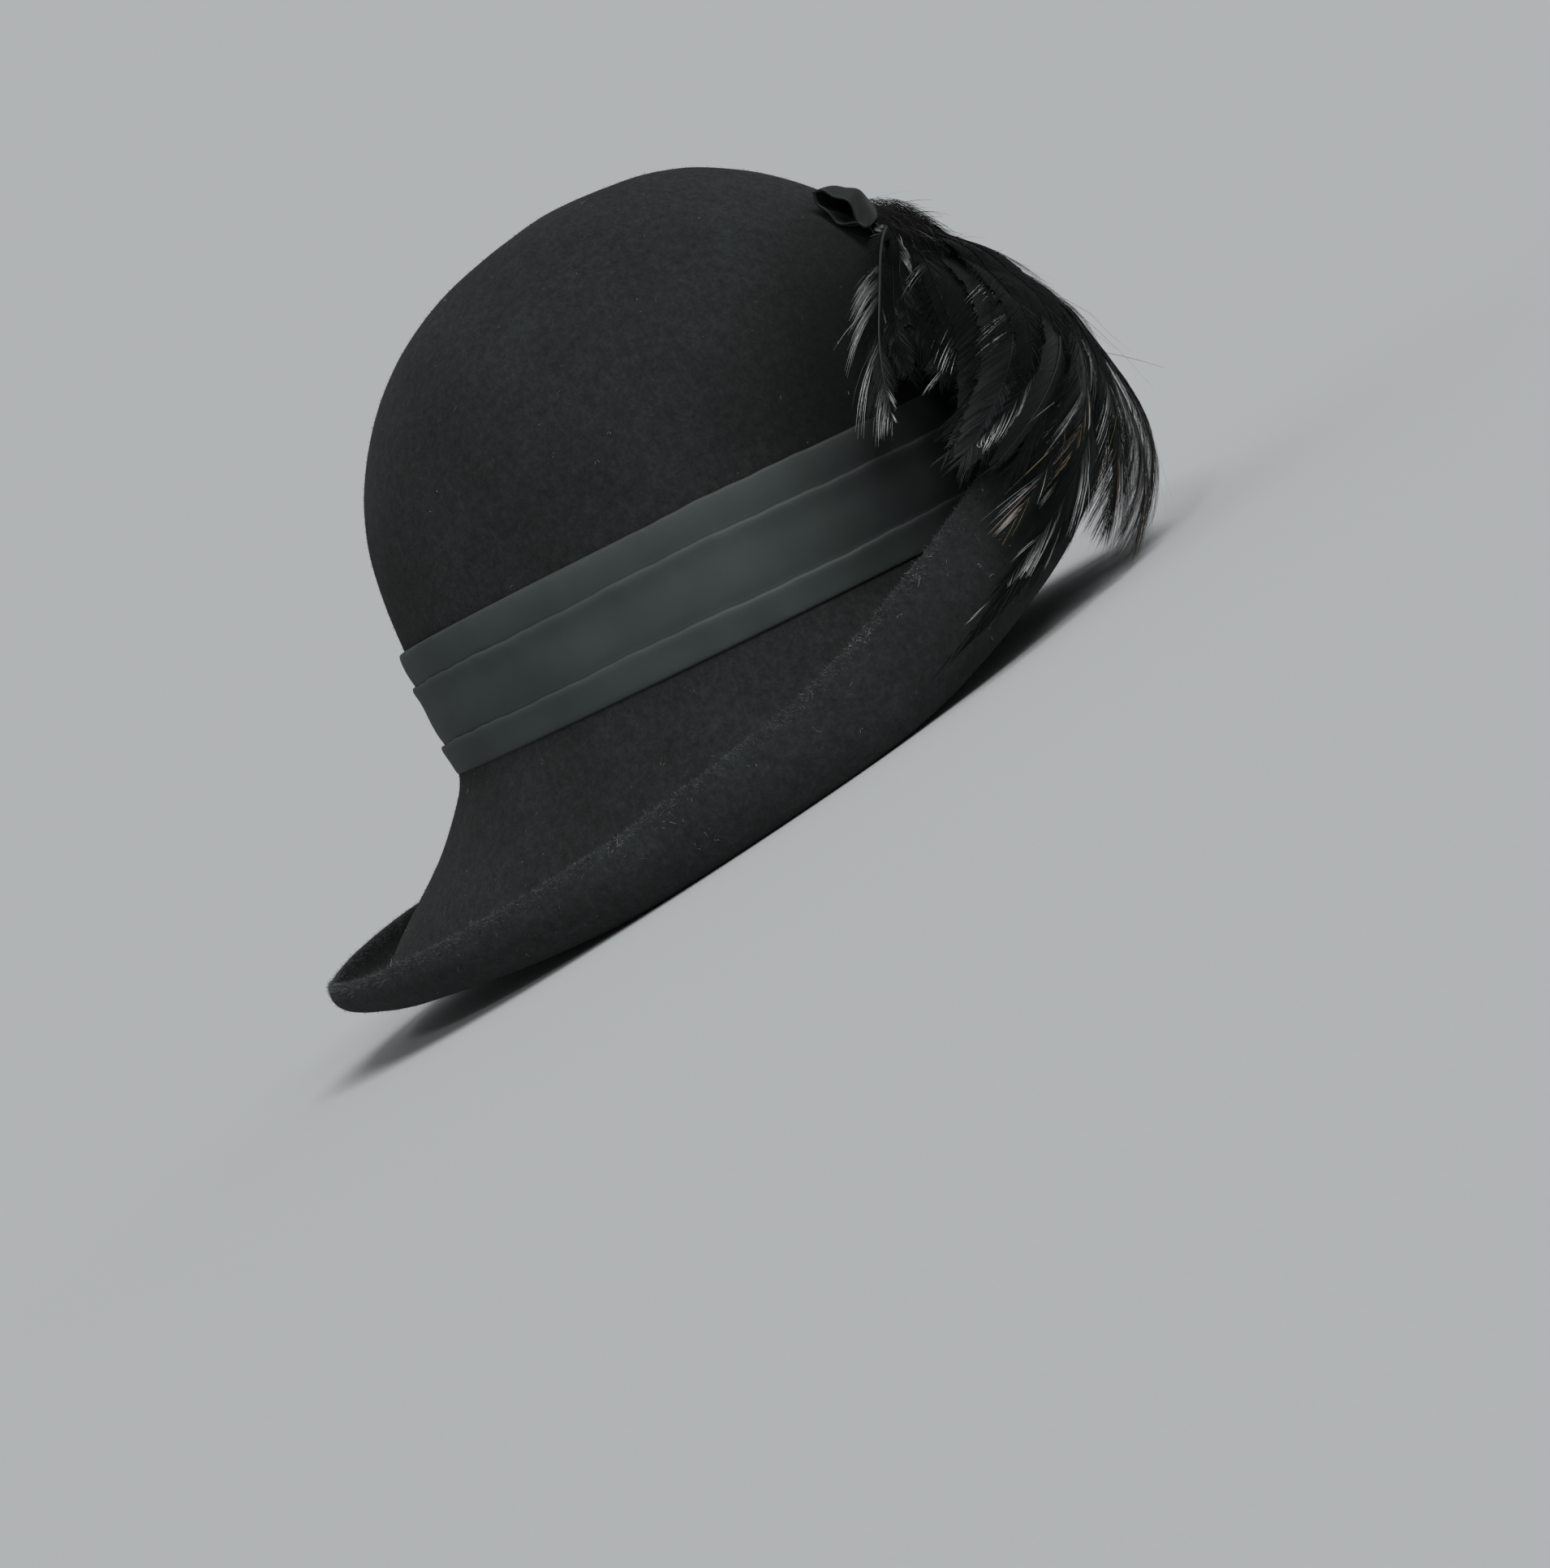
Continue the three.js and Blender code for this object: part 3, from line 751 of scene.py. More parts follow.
def ribbon_material(name, colour, draw_ribs):
    """Cross-ribbed ribbon: fine threads along the ribs, a soft sheen, slightly worn and dusty; painted shade
    round the feathers.

    The ribs are drawn as bump where the mesh hasn't got them.
    """
    nodes = Nodes(name)
    place = nodes.place()
    threads = nodes.noise(nodes.lanes((900, 4200, 1)), scale=1)
    streaks = nodes.noise(nodes.lanes((650, 50, 1)), scale=1)
    cloud = nodes.noise(place, scale=60, detail=4)
    total = nodes.maths("ADD", streaks, nodes.maths("MULTIPLY_ADD", cloud, 0.5, threads))
    share = nodes.share(total, low=0.85, high=1.65)
    shade = nodes.shades(share, colour, ((0, 0.55), (0.5, 1), (1, 1.5)))
    normal = nodes.bump(threads, strength=0.4, depth=0.08)
    if draw_ribs:
        ribs = nodes.add("ShaderNodeTexWave", Vector=nodes.flat(), Scale=math.pi / 10 / (RIB_PITCH * MM))
        normal = nodes.bump(ribs.outputs["Fac"], strength=0.8, depth=0.15, Normal=normal)
    # Painted shade round the feathers darkens the ribbon's colour.
    nodes.set(Base_Color=nodes.painted_shade(shade, place), Normal=normal, Roughness=0.6)
    nodes.set(Specular_IOR_Level=0.3, Sheen_Weight=0.05, Sheen_Roughness=0.4)
    return nodes.material


def feather_material():
    """Glossy barbs, each with its own colour; light spreads across them as on fine fibres."""
    nodes = Nodes("feather_barbs")
    tone = nodes.add("ShaderNodeAttribute")
    tone.attribute_name = "tone"
    streaks = nodes.noise(nodes.lanes((3200, 60, 1)), scale=1)
    normal = nodes.bump(streaks, strength=0.35, depth=0.12)
    tangent = nodes.add("ShaderNodeTangent")
    tangent.direction_type = "UV_MAP"
    nodes.set(Base_Color=tone.outputs["Color"], Roughness=0.3, Specular_IOR_Level=0.08)
    nodes.set(Anisotropic=0.8, Tangent=tangent.outputs["Tangent"], Normal=normal)
    nodes.set(Specular_Tint=(0.9, 1, 0.98, 1))
    return nodes.material


class HAT_OT_felt_body(bpy.types.Operator):
    """Shape the felt body from the frame's solid, and give it its felt"""

    bl_idname = "hat.felt_body"
    bl_label = "Felt body"

    def execute(self, context):
        settings = context.scene.hat_felt
        body = bpy.data.objects.new("felt_hood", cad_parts["felt_body"].data.copy())
        context.scene.collection.objects.link(body)
        edit(body)
        bpy.ops.mesh.remove_doubles(threshold=0.002 * MM)
        bpy.ops.mesh.tris_convert_to_quads(face_threshold=math.radians(60), shape_threshold=math.radians(60))
        bpy.ops.object.mode_set(mode="OBJECT")
        apply_modifier(body, "Divide", "SUBSURF", levels=2, render_levels=2)
        vertices = body.data.vertices
        normals = [vertex.normal.copy() for vertex in vertices]
        for vertex, normal in zip(vertices, normals):
            free = min(1, vertex.co.z / (FLOOR_EASE * MM)) * (1 - self.held(vertex.co))
            wander = sum(share * noise.noise(vertex.co * waves) for waves, share in FELT_WAVES)
            vertex.co += normal * wander * settings.unevenness * free
        smooth(body)
        finish_piece(body, felt_material(settings), "felt_body")
        return {"FINISHED"}

    def held(self, point):
        """How firmly the band holds the felt at a point."""
        height = (Matrix.Rotation(-REST_PITCH, 3, "X") @ (point - HAT_ORIGIN)).z / MM
        under = smoothstep(height, *BAND_HOLDS["from"]) * (1 - smoothstep(height, *BAND_HOLDS["to"]))
        return BAND_HOLDS["share"] * float(under)


def felt_places(count, seed, weight):
    """Places on the felt, with the way off it, drawn by area times a weight for each face."""
    mesh = bpy.data.objects["felt_hood"].data
    mesh.calc_loop_triangles()
    corners = read(mesh.loop_triangles, "vertices", 3, np.int32)
    triangle = read(mesh.vertices, "co", 3)[corners]
    facing = read(mesh.vertices, "normal", 3)[corners].mean(1)
    area = np.linalg.norm(np.cross(triangle[:, 1] - triangle[:, 0], triangle[:, 2] - triangle[:, 0]), axis=1)
    chance = area * weight(triangle.mean(1), facing)
    rng = np.random.default_rng(seed)
    chosen = rng.choice(len(corners), count, p=chance / chance.sum())
    a = rng.random((count, 1))
    b = rng.random((count, 1))
    flip = (a + b) > 1
    a = np.where(flip, 1 - a, a)
    b = np.where(flip, 1 - b, b)
    t = triangle[chosen]
    place = t[:, 0] + (t[:, 1] - t[:, 0]) * a + (t[:, 2] - t[:, 0]) * b
    return place, unit(facing[chosen]), rng


def nap_weight(points, _):
    """Nap everywhere but where the hat stands."""
    return np.where(points[:, 2] > NAP["over_floor"] * MM, 1, 0.0)


def fuzz_weight(points, _):
    """Fuzz along the edge of the brim."""
    return np.exp(-((rim_distance(points) / FUZZ["within"]) ** 2))


def lint_weight(points, facing):
    """Lint mostly on the brim, and where it has gathered."""
    wide, long = LINT["outside"]
    outside = np.hypot(points[:, 0] / (wide * MM), (points[:, 1] - HAT_ORIGIN.y) / (long * MM)) > 1
    brim = (points[:, 2] < LINT["below"] * MM) & outside
    degrees, depth = np.array(LINT_SPOTS, float).T
    spots = to_row(on_rim(np.radians(degrees), depth))
    gap = np.linalg.norm(points[:, None] - spots[None], axis=2) / MM
    gathered = np.exp(-((gap / LINT_SPOT_SIZE) ** 2)).sum(1)
    right = np.clip(-facing[:, 0], 0, 1)
    chance = LINT_CHANCE["anywhere"] + LINT_CHANCE["brim"] * brim
    chance = chance + right * LINT_CHANCE["right"] + LINT_CHANCE["gathered"] * gathered
    return (points[:, 2] > LINT["over_floor"] * MM) * chance


def lying(ways, off):
    """Ways turned to lie along a surface."""
    return unit(ways - off * (ways * off).sum(1, keepdims=True))


def lone_fibres(name, root, side, tip):
    """Fibres that are one narrow triangle each."""
    vertices = np.stack([root - side, root + side, tip], 1).reshape(-1, 3)
    return new_object(name, vertices, np.arange(len(vertices)).reshape(-1, 3))


class HAT_OT_felt_fibres(bpy.types.Operator):
    """Lay the nap over the felt, the worn fuzz along its edge, pale partly as painted highlight, and the
    lint it has caught
    """

    bl_idname = "hat.felt_fibres"
    bl_label = "Nap and lint"

    def execute(self, context):
        settings = context.scene.hat_felt
        self.nap(settings)
        self.fuzz(settings)
        self.lint(settings)
        return {"FINISHED"}

    def nap(self, settings):
        """Short dark fibres that lie close to the felt and soften its outline."""
        place, off, rng = felt_places(settings.fibres, NAP["seed"], nap_weight)
        lean = lying(unit(rng.normal(size=place.shape)), off)
        length = rng.uniform(*NAP["length"], (len(place), 1)) * MM
        rise = rng.uniform(*NAP["rise"], (len(place), 1))
        tip = place + (lean * np.sqrt(1 - rise**2) + off * rise) * length
        side = unit(np.cross(lean, off)) * NAP["half_width"] * MM
        fibres = lone_fibres("felt_nap", place - off * NAP["half_width"] * MM, side, tip)
        finish_piece(fibres, fibre_material("nap_fibre", scaled(settings.colour, 1.15), True))

    def fuzz(self, settings):
        """Worn fibres that stand along the edge of the brim, pale partly as a painted highlight on the rim.
        """
        place, off, rng = felt_places(settings.fuzz, FUZZ["seed"], fuzz_weight)
        lean = unit(rng.normal(size=place.shape))
        length = rng.uniform(*FUZZ["length"], (len(place), 1)) * MM
        tip = place + unit(off + lean * FUZZ["lean"]) * length
        side = unit(np.cross(lean, off)) * FUZZ["half_width"] * MM
        fibres = lone_fibres("edge_fuzz", place, side, tip)
        # Six times the felt's colour: worn fibres and a painted highlight on the rim.
        finish_piece(fibres, fibre_material("worn_fibre_painted_highlight", scaled(settings.colour, 6), True))

    def lint(self, settings):
        """Pale bent fibres, most of them on the brim's wall and along its edge."""
        place, off, rng = felt_places(settings.lint, LINT["seed"], lint_weight)
        count = len(place)
        steps = LINT["steps"]
        lean = lying(unit(rng.normal(size=place.shape)), off)
        across = unit(np.cross(off, lean))
        length = rng.gamma(2.2, 0.55, (count, 1)) * MM
        bend = rng.normal(0, 2.6, (count, 1))
        line = np.empty((count, steps, 3))
        heading = rng.uniform(-0.2, 0.2, (count, 1))
        point = place + off * 0.1 * MM
        for k in range(steps):
            line[:, k] = point
            step = lean * np.cos(heading) + across * np.sin(heading)
            lift = np.sin(math.pi * (k + 0.5) / steps) * rng.uniform(0, 0.5, (count, 1))
            point = point + (step + off * lift) * length / steps
            heading = heading + bend / steps + rng.normal(0, 0.45, (count, 1))
        width = rng.uniform(*LINT["width"], (count, 1)) * np.ones((count, steps)) * MM
        flat = np.repeat(unit(across + off * rng.normal(0, 0.6, (count, 1)))[:, None], steps, 1)
        lint = new_object("felt_lint", *strips(line, flat, width))
        finish_piece(lint, fibre_material("lint_fibre", settings.pale, False))


def ripple(waves, turn, height):
    """The sum of waves round the band at a height."""
    return sum(size * np.sin(number * turn + height * lag + start) for size, number, lag, start in waves)


class HAT_OT_band(bpy.types.Operator):
    """Make the tucked band of cross-ribbed ribbon round the crown"""

    bl_idname = "hat.band"
    bl_label = "Ribbon band"

    def execute(self, context):
        settings = context.scene.hat_band
        rows = BAND_FACE + BAND_BACK
        columns = settings.ribs * 2
        band = self.drawn_up(rows, columns)
        self.ribbed(band.data, rows, columns, settings.rib_depth / MM)
        along = np.tile(np.arange(columns) / settings.ribs * RIB_PITCH * MM, len(rows))
        across = np.repeat([height * MM for height, _ in rows], columns)
        lay_flat(band.data, np.stack([along, across], 1))
        smooth(band)
        finish_piece(band, ribbon_material("ribbed_ribbon", settings.colour, False), "hat_band")
        return {"FINISHED"}

    def drawn_up(self, rows, columns):
        """A ring drawn up row by row from its lower edge, over its face and down its back."""
        _, front, side, _ = CROWN_SECTIONS[0]
        band = new_circle("ribbon_band", columns)
        height, proud = rows[0]
        bpy.ops.transform.resize(value=((side + proud) * MM, (front + proud) * MM, 1))
        bpy.ops.transform.translate(value=(0, 0, height * MM))
        for (below, last), (height, proud) in zip(rows, rows[1:]):
            bpy.ops.mesh.extrude_region_move(TRANSFORM_OT_translate={"value": (0, 0, (height - below) * MM)})
            wider = ((side + proud) / (side + last), (front + proud) / (front + last), 1)
            bpy.ops.transform.resize(value=wider)
        bpy.ops.mesh.select_all(action="DESELECT")
        bpy.ops.mesh.select_non_manifold()
        bpy.ops.mesh.bridge_edge_loops()
        bpy.ops.mesh.select_all(action="SELECT")
        bpy.ops.mesh.normals_make_consistent(inside=False)
        bpy.ops.object.mode_set(mode="OBJECT")
        return band

    def ribbed(self, mesh, rows, columns, depth):
        """Raises the ribs, lets the tucks wander as hand-laid ones do, and sets the band on the hat."""
        _, front, side, _ = CROWN_SECTIONS[0]
        ring = corner_points(mesh)[:columns]
        turn = np.arctan2(-ring[:, 0] / side, -ring[:, 1] / front)
        if np.ptp(np.unwrap(turn)) < 6:
            raise RuntimeError("the band's corners are not in order")
        rib = np.where(np.arange(columns) % 2 == 0, 0.5, -0.5) * depth
        points = []
        for index, (height, proud) in enumerate(rows):
            inner = 1 if 0 < index < len(BAND_FACE) - 1 else 0
            wander = ripple(TUCK_WANDER, turn, height) * inner
            level = height + wander * smoothstep(height, 0, WANDER_FROM)
            puff = ripple(TUCK_PUFF, turn, height) * smoothstep(proud, *PUFF_AT)
            points.append(placed(crown_at(level), turn, level, proud + (rib + puff) * inner))
        move_corners(mesh, to_row(np.concatenate(points)))


class HAT_OT_loop(bpy.types.Operator):
    """Fold the ribbon loop at the root of the feathers"""

    bl_idname = "hat.loop"
    bl_label = "Ribbon loop"

    def execute(self, context):
        settings = context.scene.hat_band
        loop = new_circle("ribbon_loop", LOOP_CORNERS)
        bpy.ops.transform.resize(value=(LOOP["length"] * MM / 2, LOOP["depth"] * MM / 2, 1))
        share = np.linspace(0, 1, LOOP_ROWS)
        pinch = smoothstep(share, *LOOP["pinch"])
        run = share * (LOOP["width"] * MM) + LOOP["tail"] * MM * pinch
        shrink = 1 - LOOP["narrowing"] * pinch
        for step, narrower in zip(np.diff(run), shrink[1:] / shrink[:-1]):
            bpy.ops.mesh.extrude_region_move(TRANSFORM_OT_translate={"value": (0, 0, step)})
            bpy.ops.transform.resize(value=(narrower, narrower, 1))
        bpy.ops.object.mode_set(mode="OBJECT")
        self.crumpled(loop.data, run, pinch)
        apply_modifier(loop, "Ribbon", "SOLIDIFY", thickness=LOOP["thickness"] * MM, offset=0)
        apply_modifier(loop, "Soft", "SUBSURF", levels=1, render_levels=1)
        edit(loop)
        bpy.ops.mesh.normals_make_consistent(inside=False)
        bpy.ops.object.mode_set(mode="OBJECT")
        smooth(loop)
        # A darker copy of the band's ribbon: painted shade on the loop.
        shade = scaled(settings.colour, LOOP["lightness"])
        finish_piece(loop, ribbon_material("painted_shade_ribbon", shade, True), "trim_loop")
        return {"FINISHED"}

    def crumpled(self, mesh, run, pinch):
        """Narrows the loop's lower end, creases the ribbon and sets it on the crown."""
        drawn = corner_points(mesh).reshape(LOOP_ROWS, LOOP_CORNERS, 3) / MM
        lower = smoothstep(-drawn[..., 0], 0, LOOP["length"] / 2)
        drawn[..., 1] *= 1 - 0.5 * lower
        around = np.arange(LOOP_CORNERS) / LOOP_CORNERS * 2 * math.pi
        folds = np.sin(5 * around[None] + 0.3 * np.arange(LOOP_ROWS)[:, None])
        drawn[..., 1] *= 1 + LOOP["crease"] * folds * (1 - pinch[:, None])
        drawn[..., 0] += 1.2 * np.sin(2 * around)[None] * pinch[:, None]
        share = (run / run[-1])[:, None]
        upper = smoothstep(drawn[..., 1], -LOOP["depth"] / 4, LOOP["depth"] / 4)
        drawn[..., 1] -= LOOP["droop"] * upper * (1 - smoothstep(share, 0, 0.4)) + LOOP["sink"] * share
        point, up, across, off = frame_on(on_crown, np.array(LOOP["turn"]), np.array(LOOP["height"]))
        seat = point + off * LOOP["off"] + across * LOOP["width"] / 2
        points = seat + drawn[..., :1] * up + drawn[..., 1:2] * off - drawn[..., 2:] * across
        move_corners(mesh, to_row(points.reshape(-1, 3)))
        step = LOOP["length"] * 2.4 / LOOP_CORNERS * MM
        along = np.tile(np.arange(LOOP_CORNERS) * step, LOOP_ROWS)
        lay_flat(mesh, np.stack([along, np.repeat(run, LOOP_CORNERS)], 1))


def sampled(values, places, at):
    """Rows of values at places between their own."""
    return np.stack([np.interp(at, places, values[:, k]) for k in range(values.shape[1])], -1)


class Shaft:
    """A feather's shaft, read by length along it."""

    def __init__(self, plume, bow):
        shares = np.linspace(0, 1, SHAFT_POINTS)
        self.lay(plume, bow, shares)
        lengths = np.linalg.norm(np.diff(self.point, axis=0), axis=1)
        self.arc = np.concatenate([[0], np.cumsum(lengths)])
        self.total = self.arc[-1]
        self.half = plume.width / 2 * np.maximum(np.sin(math.pi * shares**0.8) ** 0.7, 0.16)

    def lay(self, plume, bow, shares):
        """Points on the shaft and the directions along it, across it and off it."""
        ahead = smoothstep(SWELL_FROM - plume.tip_turn, 0, SWELL_SPAN)
        swell = ROOT_SWELL * ahead if bow == UPPER_BOW else 0
        clear = FEATHER_CLEAR + plume.arch * np.sin(math.pi * shares**bow)
        clear = clear - plume.curl * shares**FEATHER_CURL_EASE
        clear = clear + swell * np.sin(math.pi * np.minimum(shares / 0.5, 1))
        rise = smoothstep(shares, 0, FEATHER_RISE)
        degrees = plume.turn + (plume.tip_turn - plume.turn) * shares**plume.sweep
        level = plume.height + (plume.tip_height - plume.height) * shares

        def surface(turn, height):
            """Points as far off the hat as the shaft is."""
            return draped(turn, height, rise, clear)

        self.point, _, _, off = frame_on(surface, np.radians(degrees), level)
        self.along = unit(np.gradient(self.point, shares, axis=0))
        across = unit(np.cross(off, self.along))
        lean = math.radians(plume.roll)
        self.across = unit(across * math.cos(lean) + np.cross(self.along, across) * math.sin(lean))
        self.off = unit(np.cross(self.along, self.across))

    def at(self, run):
        """Points and directions at lengths from the root, straight on past the tip."""
        past = np.maximum(run - self.total, 0)[..., None]
        point = sampled(self.point, self.arc, run) + self.along[-1] * past
        return point, unit(sampled(self.across, self.arc, run)), unit(sampled(self.off, self.arc, run))

    def angles(self, root, spread):
        """Angles at which barbs leave the shaft, smaller toward its tip."""
        shares, degrees = np.array(BARB_ANGLES, float).T
        return np.radians(np.interp(root / self.total, shares, degrees)) * spread

    def barbs(self, root, side, angle, length, t, pull, droop):
        """Lines of barbs: they leave the shaft at an angle and bend toward the tip."""
        a = angle[:, None]
        start = 1.25 * a
        bent = a * (1.25 - 0.5 * t)
        run = length[:, None] * (np.sin(start) - np.sin(bent)) / (0.5 * a)
        wide = length[:, None] * (np.cos(bent) - np.cos(start)) / (0.5 * a)
        point, across, off = self.at(root[:, None] + run + pull[:, None] * t**1.5)
        reach = np.maximum(length * np.sin(angle), 1)[:, None]
        fall = droop[:, None] * wide**2 / reach
        return point + across * (side * wide)[..., None] - off * fall[..., None], off


class HAT_OT_feathers(bpy.types.Operator):
    """Grow the feathers of the spray: shafts, vanes and barbs on one backing"""

    bl_idname = "hat.feathers"
    bl_label = "Feather spray"

    def execute(self, context):
        settings = context.scene.hat_feathers
        material = feather_material()
        self.backing(material)
        self.clear()
        self.tier(UPPER_TIER, UPPER_BOW, UPPER_LOOKS, UPPER_PLAIN, settings)
        for index, plume in enumerate(UNDER_TIER):
            rng = np.random.default_rng((UNDER_SEED, index))
            self.feather(plume, UPPER_BOW, UPPER_PLAIN._replace(dense=HIDDEN), settings, rng)
        self.tuft(settings)
        self.loose_barb(settings)
        self.sewn("upper_feathers", material)
        self.clear()
        self.tier(LOWER_TIER, LOWER_BOW, LOWER_LOOKS, LOWER_PLAIN, settings)
        self.sewn("lower_feathers", material)
        return {"FINISHED"}

    def backing(self, material):
        """The low pad on the crown that the feathers are sewn to."""
        sphere = {"segments": 48, "ring_count": 24, "radius": 1}
        pad = primitive("feather_backing", bpy.ops.mesh.primitive_uv_sphere_add, **sphere)
        bpy.ops.transform.resize(value=tuple(size * MM for size in BACKING["half_size"]))
        bpy.ops.mesh.bisect(plane_co=(0, 0, 0), plane_no=(0, 0, 1), clear_inner=True, use_fill=True)
        bpy.ops.object.mode_set(mode="OBJECT")
        drawn = corner_points(pad.data) / MM
        height = BACKING["height"] + drawn[:, 1]
        turn = BACKING["turn"] + drawn[:, 0] / BACKING["reach"]
        points = placed(crown_at(height), turn, height, BACKING["off"] + drawn[:, 2])
        move_corners(pad.data, to_row(points))
        colour_corners(pad.data, np.tile(BACKING_COLOUR, (len(drawn), 1)))
        smooth(pad)
        finish_piece(pad, material, "feather_spray")

    def clear(self):
        """Starts a new tier."""
        self.vertices = []
        self.faces = []
        self.tones = []
        self.places = []
        self.total = 0

    def keep(self, vertices, faces, tone, place):
        """Adds faces to the tier, with a colour and a place on the vane for each vertex."""
        self.vertices.append(vertices)
        self.faces.append(faces + self.total)
        self.tones.append(np.concatenate([tone, np.ones((len(tone), 1))], 1))
        self.places.append(place * MM)
        self.total += len(vertices)

    def sewn(self, name, material):
        """All that was kept for a tier as one piece, nothing of it under the floor."""
        points = to_row(np.concatenate(self.vertices))
        points[:, 2] = np.maximum(points[:, 2], LOWEST_BARB * MM)
        places = np.concatenate(self.places)
        piece = new_object(name, points, np.concatenate(self.faces), places, np.concatenate(self.tones))
        smooth(piece)
        finish_piece(piece, material, "feather_spray")

    def tier(self, rows, bow, looks, plain, settings):
        """The feathers of a tier, most with a plain one under them."""
        for index, plume in enumerate(rows):
            rng = np.random.default_rng((bow, index))
            look = looks.get(index, plain)
            self.feather(plume, bow, look, settings, rng)
            if look.paired:
                under = self.neighbour(plume, rng)
                self.feather(under, bow, plain._replace(dense=HIDDEN), settings, rng)

    def neighbour(self, plume, rng):
        """A feather under another, a little shorter and turned its own way."""
        shorter = rng.uniform(0.04, 0.25)
        return Plume(
            turn=plume.turn + rng.normal(0, 2),
            height=plume.height + rng.uniform(-3, 1),
            tip_turn=plume.tip_turn + (plume.turn - plume.tip_turn) * shorter * 0.5 + rng.normal(0, 4),
            tip_height=plume.tip_height + (plume.height - plume.tip_height) * shorter,
            sweep=plume.sweep * rng.uniform(0.85, 1.1),
            arch=plume.arch - rng.uniform(0.4, 1.4),
            curl=plume.curl * (1 - shorter),
            width=plume.width * rng.uniform(0.75, 1),
            roll=plume.roll + rng.normal(0, 6),
        )

    def feather(self, plume, bow, look, settings, rng):
        """One feather: vane and barbs on both sides, shaft."""
        shaft = Shaft(plume, bow)
        black = np.array(settings.colour) * rng.uniform(0.7, 1.3)
        for side, pale, width in zip((-1, 1), look.pale, look.width):
            self.vane(shaft, side, width, look, rng, black)
            self.barbs(shaft, side, width, pale, look, settings, rng, black)
        self.quill(shaft, look.quill, black)

    def vane(self, shaft, side, width, look, rng, black):
        """The closed inner part of one side of the vane, with a ragged edge."""
        root = np.linspace(0.02, 0.93, VANE_ROWS) * shaft.total
        angle = shaft.angles(root, look.spread)
        length = np.interp(root, shaft.arc, shaft.half) * width / np.sin(angle)
        length = np.minimum(length, shaft.total - root)
        edge = look.close * rng.uniform(0.9, 1.1, VANE_ROWS)
        t = np.linspace(0, 1, VANE_STEPS)[None] * edge[:, None]
        droop = np.full(VANE_ROWS, BARB_DROOP)
        grid, off = shaft.barbs(root, side, angle, length, t, np.zeros(VANE_ROWS), droop)
        grid = grid - off * 0.12
        here = np.arange(t.size).reshape(t.shape)
        faces = np.stack([here[:-1, :-1], here[:-1, 1:], here[1:, 1:], here[1:, :-1]], -1).reshape(-1, 4)
        place = np.stack([np.repeat(root, VANE_STEPS), (t * length[:, None]).ravel()], 1)
        self.keep(grid.reshape(-1, 3), faces, np.tile(black * 0.8 * look.shade, (t.size, 1)), place)

    def quill(self, shaft, thick, black):
        """The tapered rod along the feather; a thick one is horn grey."""
        inner = slice(1, SHAFT_POINTS - 2)
        point = shaft.point[inner]
        radius = np.linspace(thick, QUILL_TIP, len(point))[:, None]
        around = []
        for angle in np.linspace(0, 2 * math.pi, QUILL_SIDES, endpoint=False):
            way = shaft.across[inner] * math.cos(angle) + shaft.off[inner] * (0.25 + 0.7 * math.sin(angle))
            around.append(point + way * radius)
        grid = np.stack(around, 1)
        here = np.arange(len(point) * QUILL_SIDES).reshape(-1, QUILL_SIDES)
        beside = np.roll(here, -1, 1)
        faces = np.stack([here[:-1], beside[:-1], beside[1:], here[1:]], -1).reshape(-1, 4)
        across = np.tile(np.arange(QUILL_SIDES) * 0.2, len(point))
        place = np.stack([across, np.repeat(shaft.arc[inner], QUILL_SIDES)], 1)
        tone = black * (2.5 if thick < THICK_QUILL else 11)
        self.keep(grid.reshape(-1, 3), faces, np.tile(tone, (here.size, 1)), place)

    def barbs(self, shaft, side, width, pale, look, settings, rng, black):
        """Long barbs of one side, swept toward the tip and clinging together in pointed clumps."""
        count = int(settings.barbs * look.dense)
        share = np.sort(rng.uniform(0.02, 0.98, count))
        inside = np.zeros(count, bool)
        for low, high in look.lengths:
            inside |= (share > low) & (share < high)
        root = share * shaft.total
        clump = np.cumsum(rng.random(count) < 1 / look.clump)
        clumps = clump.max() + 1
        middle = np.array([root[clump == c].mean() for c in clump])
        cling = rng.uniform(0.3, 0.8, clumps)[clump]
        angle = shaft.angles(root, look.spread) * rng.normal(1, 0.09, count)
        longer = rng.normal(1, 0.1, clumps)[clump] * rng.uniform(0.8, 1.1, count)
        longer = longer * np.where(inside, 1, look.between)
        length = np.interp(root, shaft.arc, shaft.half) * width / np.sin(angle) * longer
        length = np.minimum(length, shaft.total - root + rng.uniform(1.5, 6, count))
        droop = rng.normal(BARB_DROOP, 0.05, clumps)[clump] + rng.normal(0, 0.015, count)
        stray = rng.random(count) < 0.012
        angle[stray] *= 1.5
        droop[stray] -= 0.35
        t = np.linspace(0, 1, BARB_STEPS)
        line, off = shaft.barbs(root, side, angle, length, t[None], (middle - root) * cling, droop)
        heading = unit(np.gradient(line, axis=1))
        flat = unit(np.cross(heading, off))
        twist = rng.normal(0, 0.25, (count, 1, 1))
        flat = flat * np.cos(twist) + np.cross(heading, flat) * np.sin(twist)
        taper = (1 - t**1.5 * 0.8)[None]
        thick = settings.barb_width / MM * taper * rng.uniform(0.7, 1.2, (count, 1)) / look.dense**0.5
        # A painted glint: pale tone on some barbs where light would catch them.
        painted_glint = inside & (rng.random(clumps)[clump] < pale) & (rng.random(count) < 0.55)
        tones = self.barb_tones(t, rng, black * look.shade, painted_glint, look.gleam, look.warm * inside)
        self.keep_strips(line, flat, thick, tones, root[:, None], t[None] * length[:, None])

    def keep_strips(self, line, flat, width, tones, root, run):
        """Adds barbs to the tier, with places on the vane from their roots and lengths."""
        vertices, faces = strips(line, flat, width)
        beside = np.stack([root - width / 2, root + width / 2], -1)
        self.keep(vertices, faces, tones, np.stack([beside.ravel(), np.repeat(run, 2, -1).ravel()], 1))

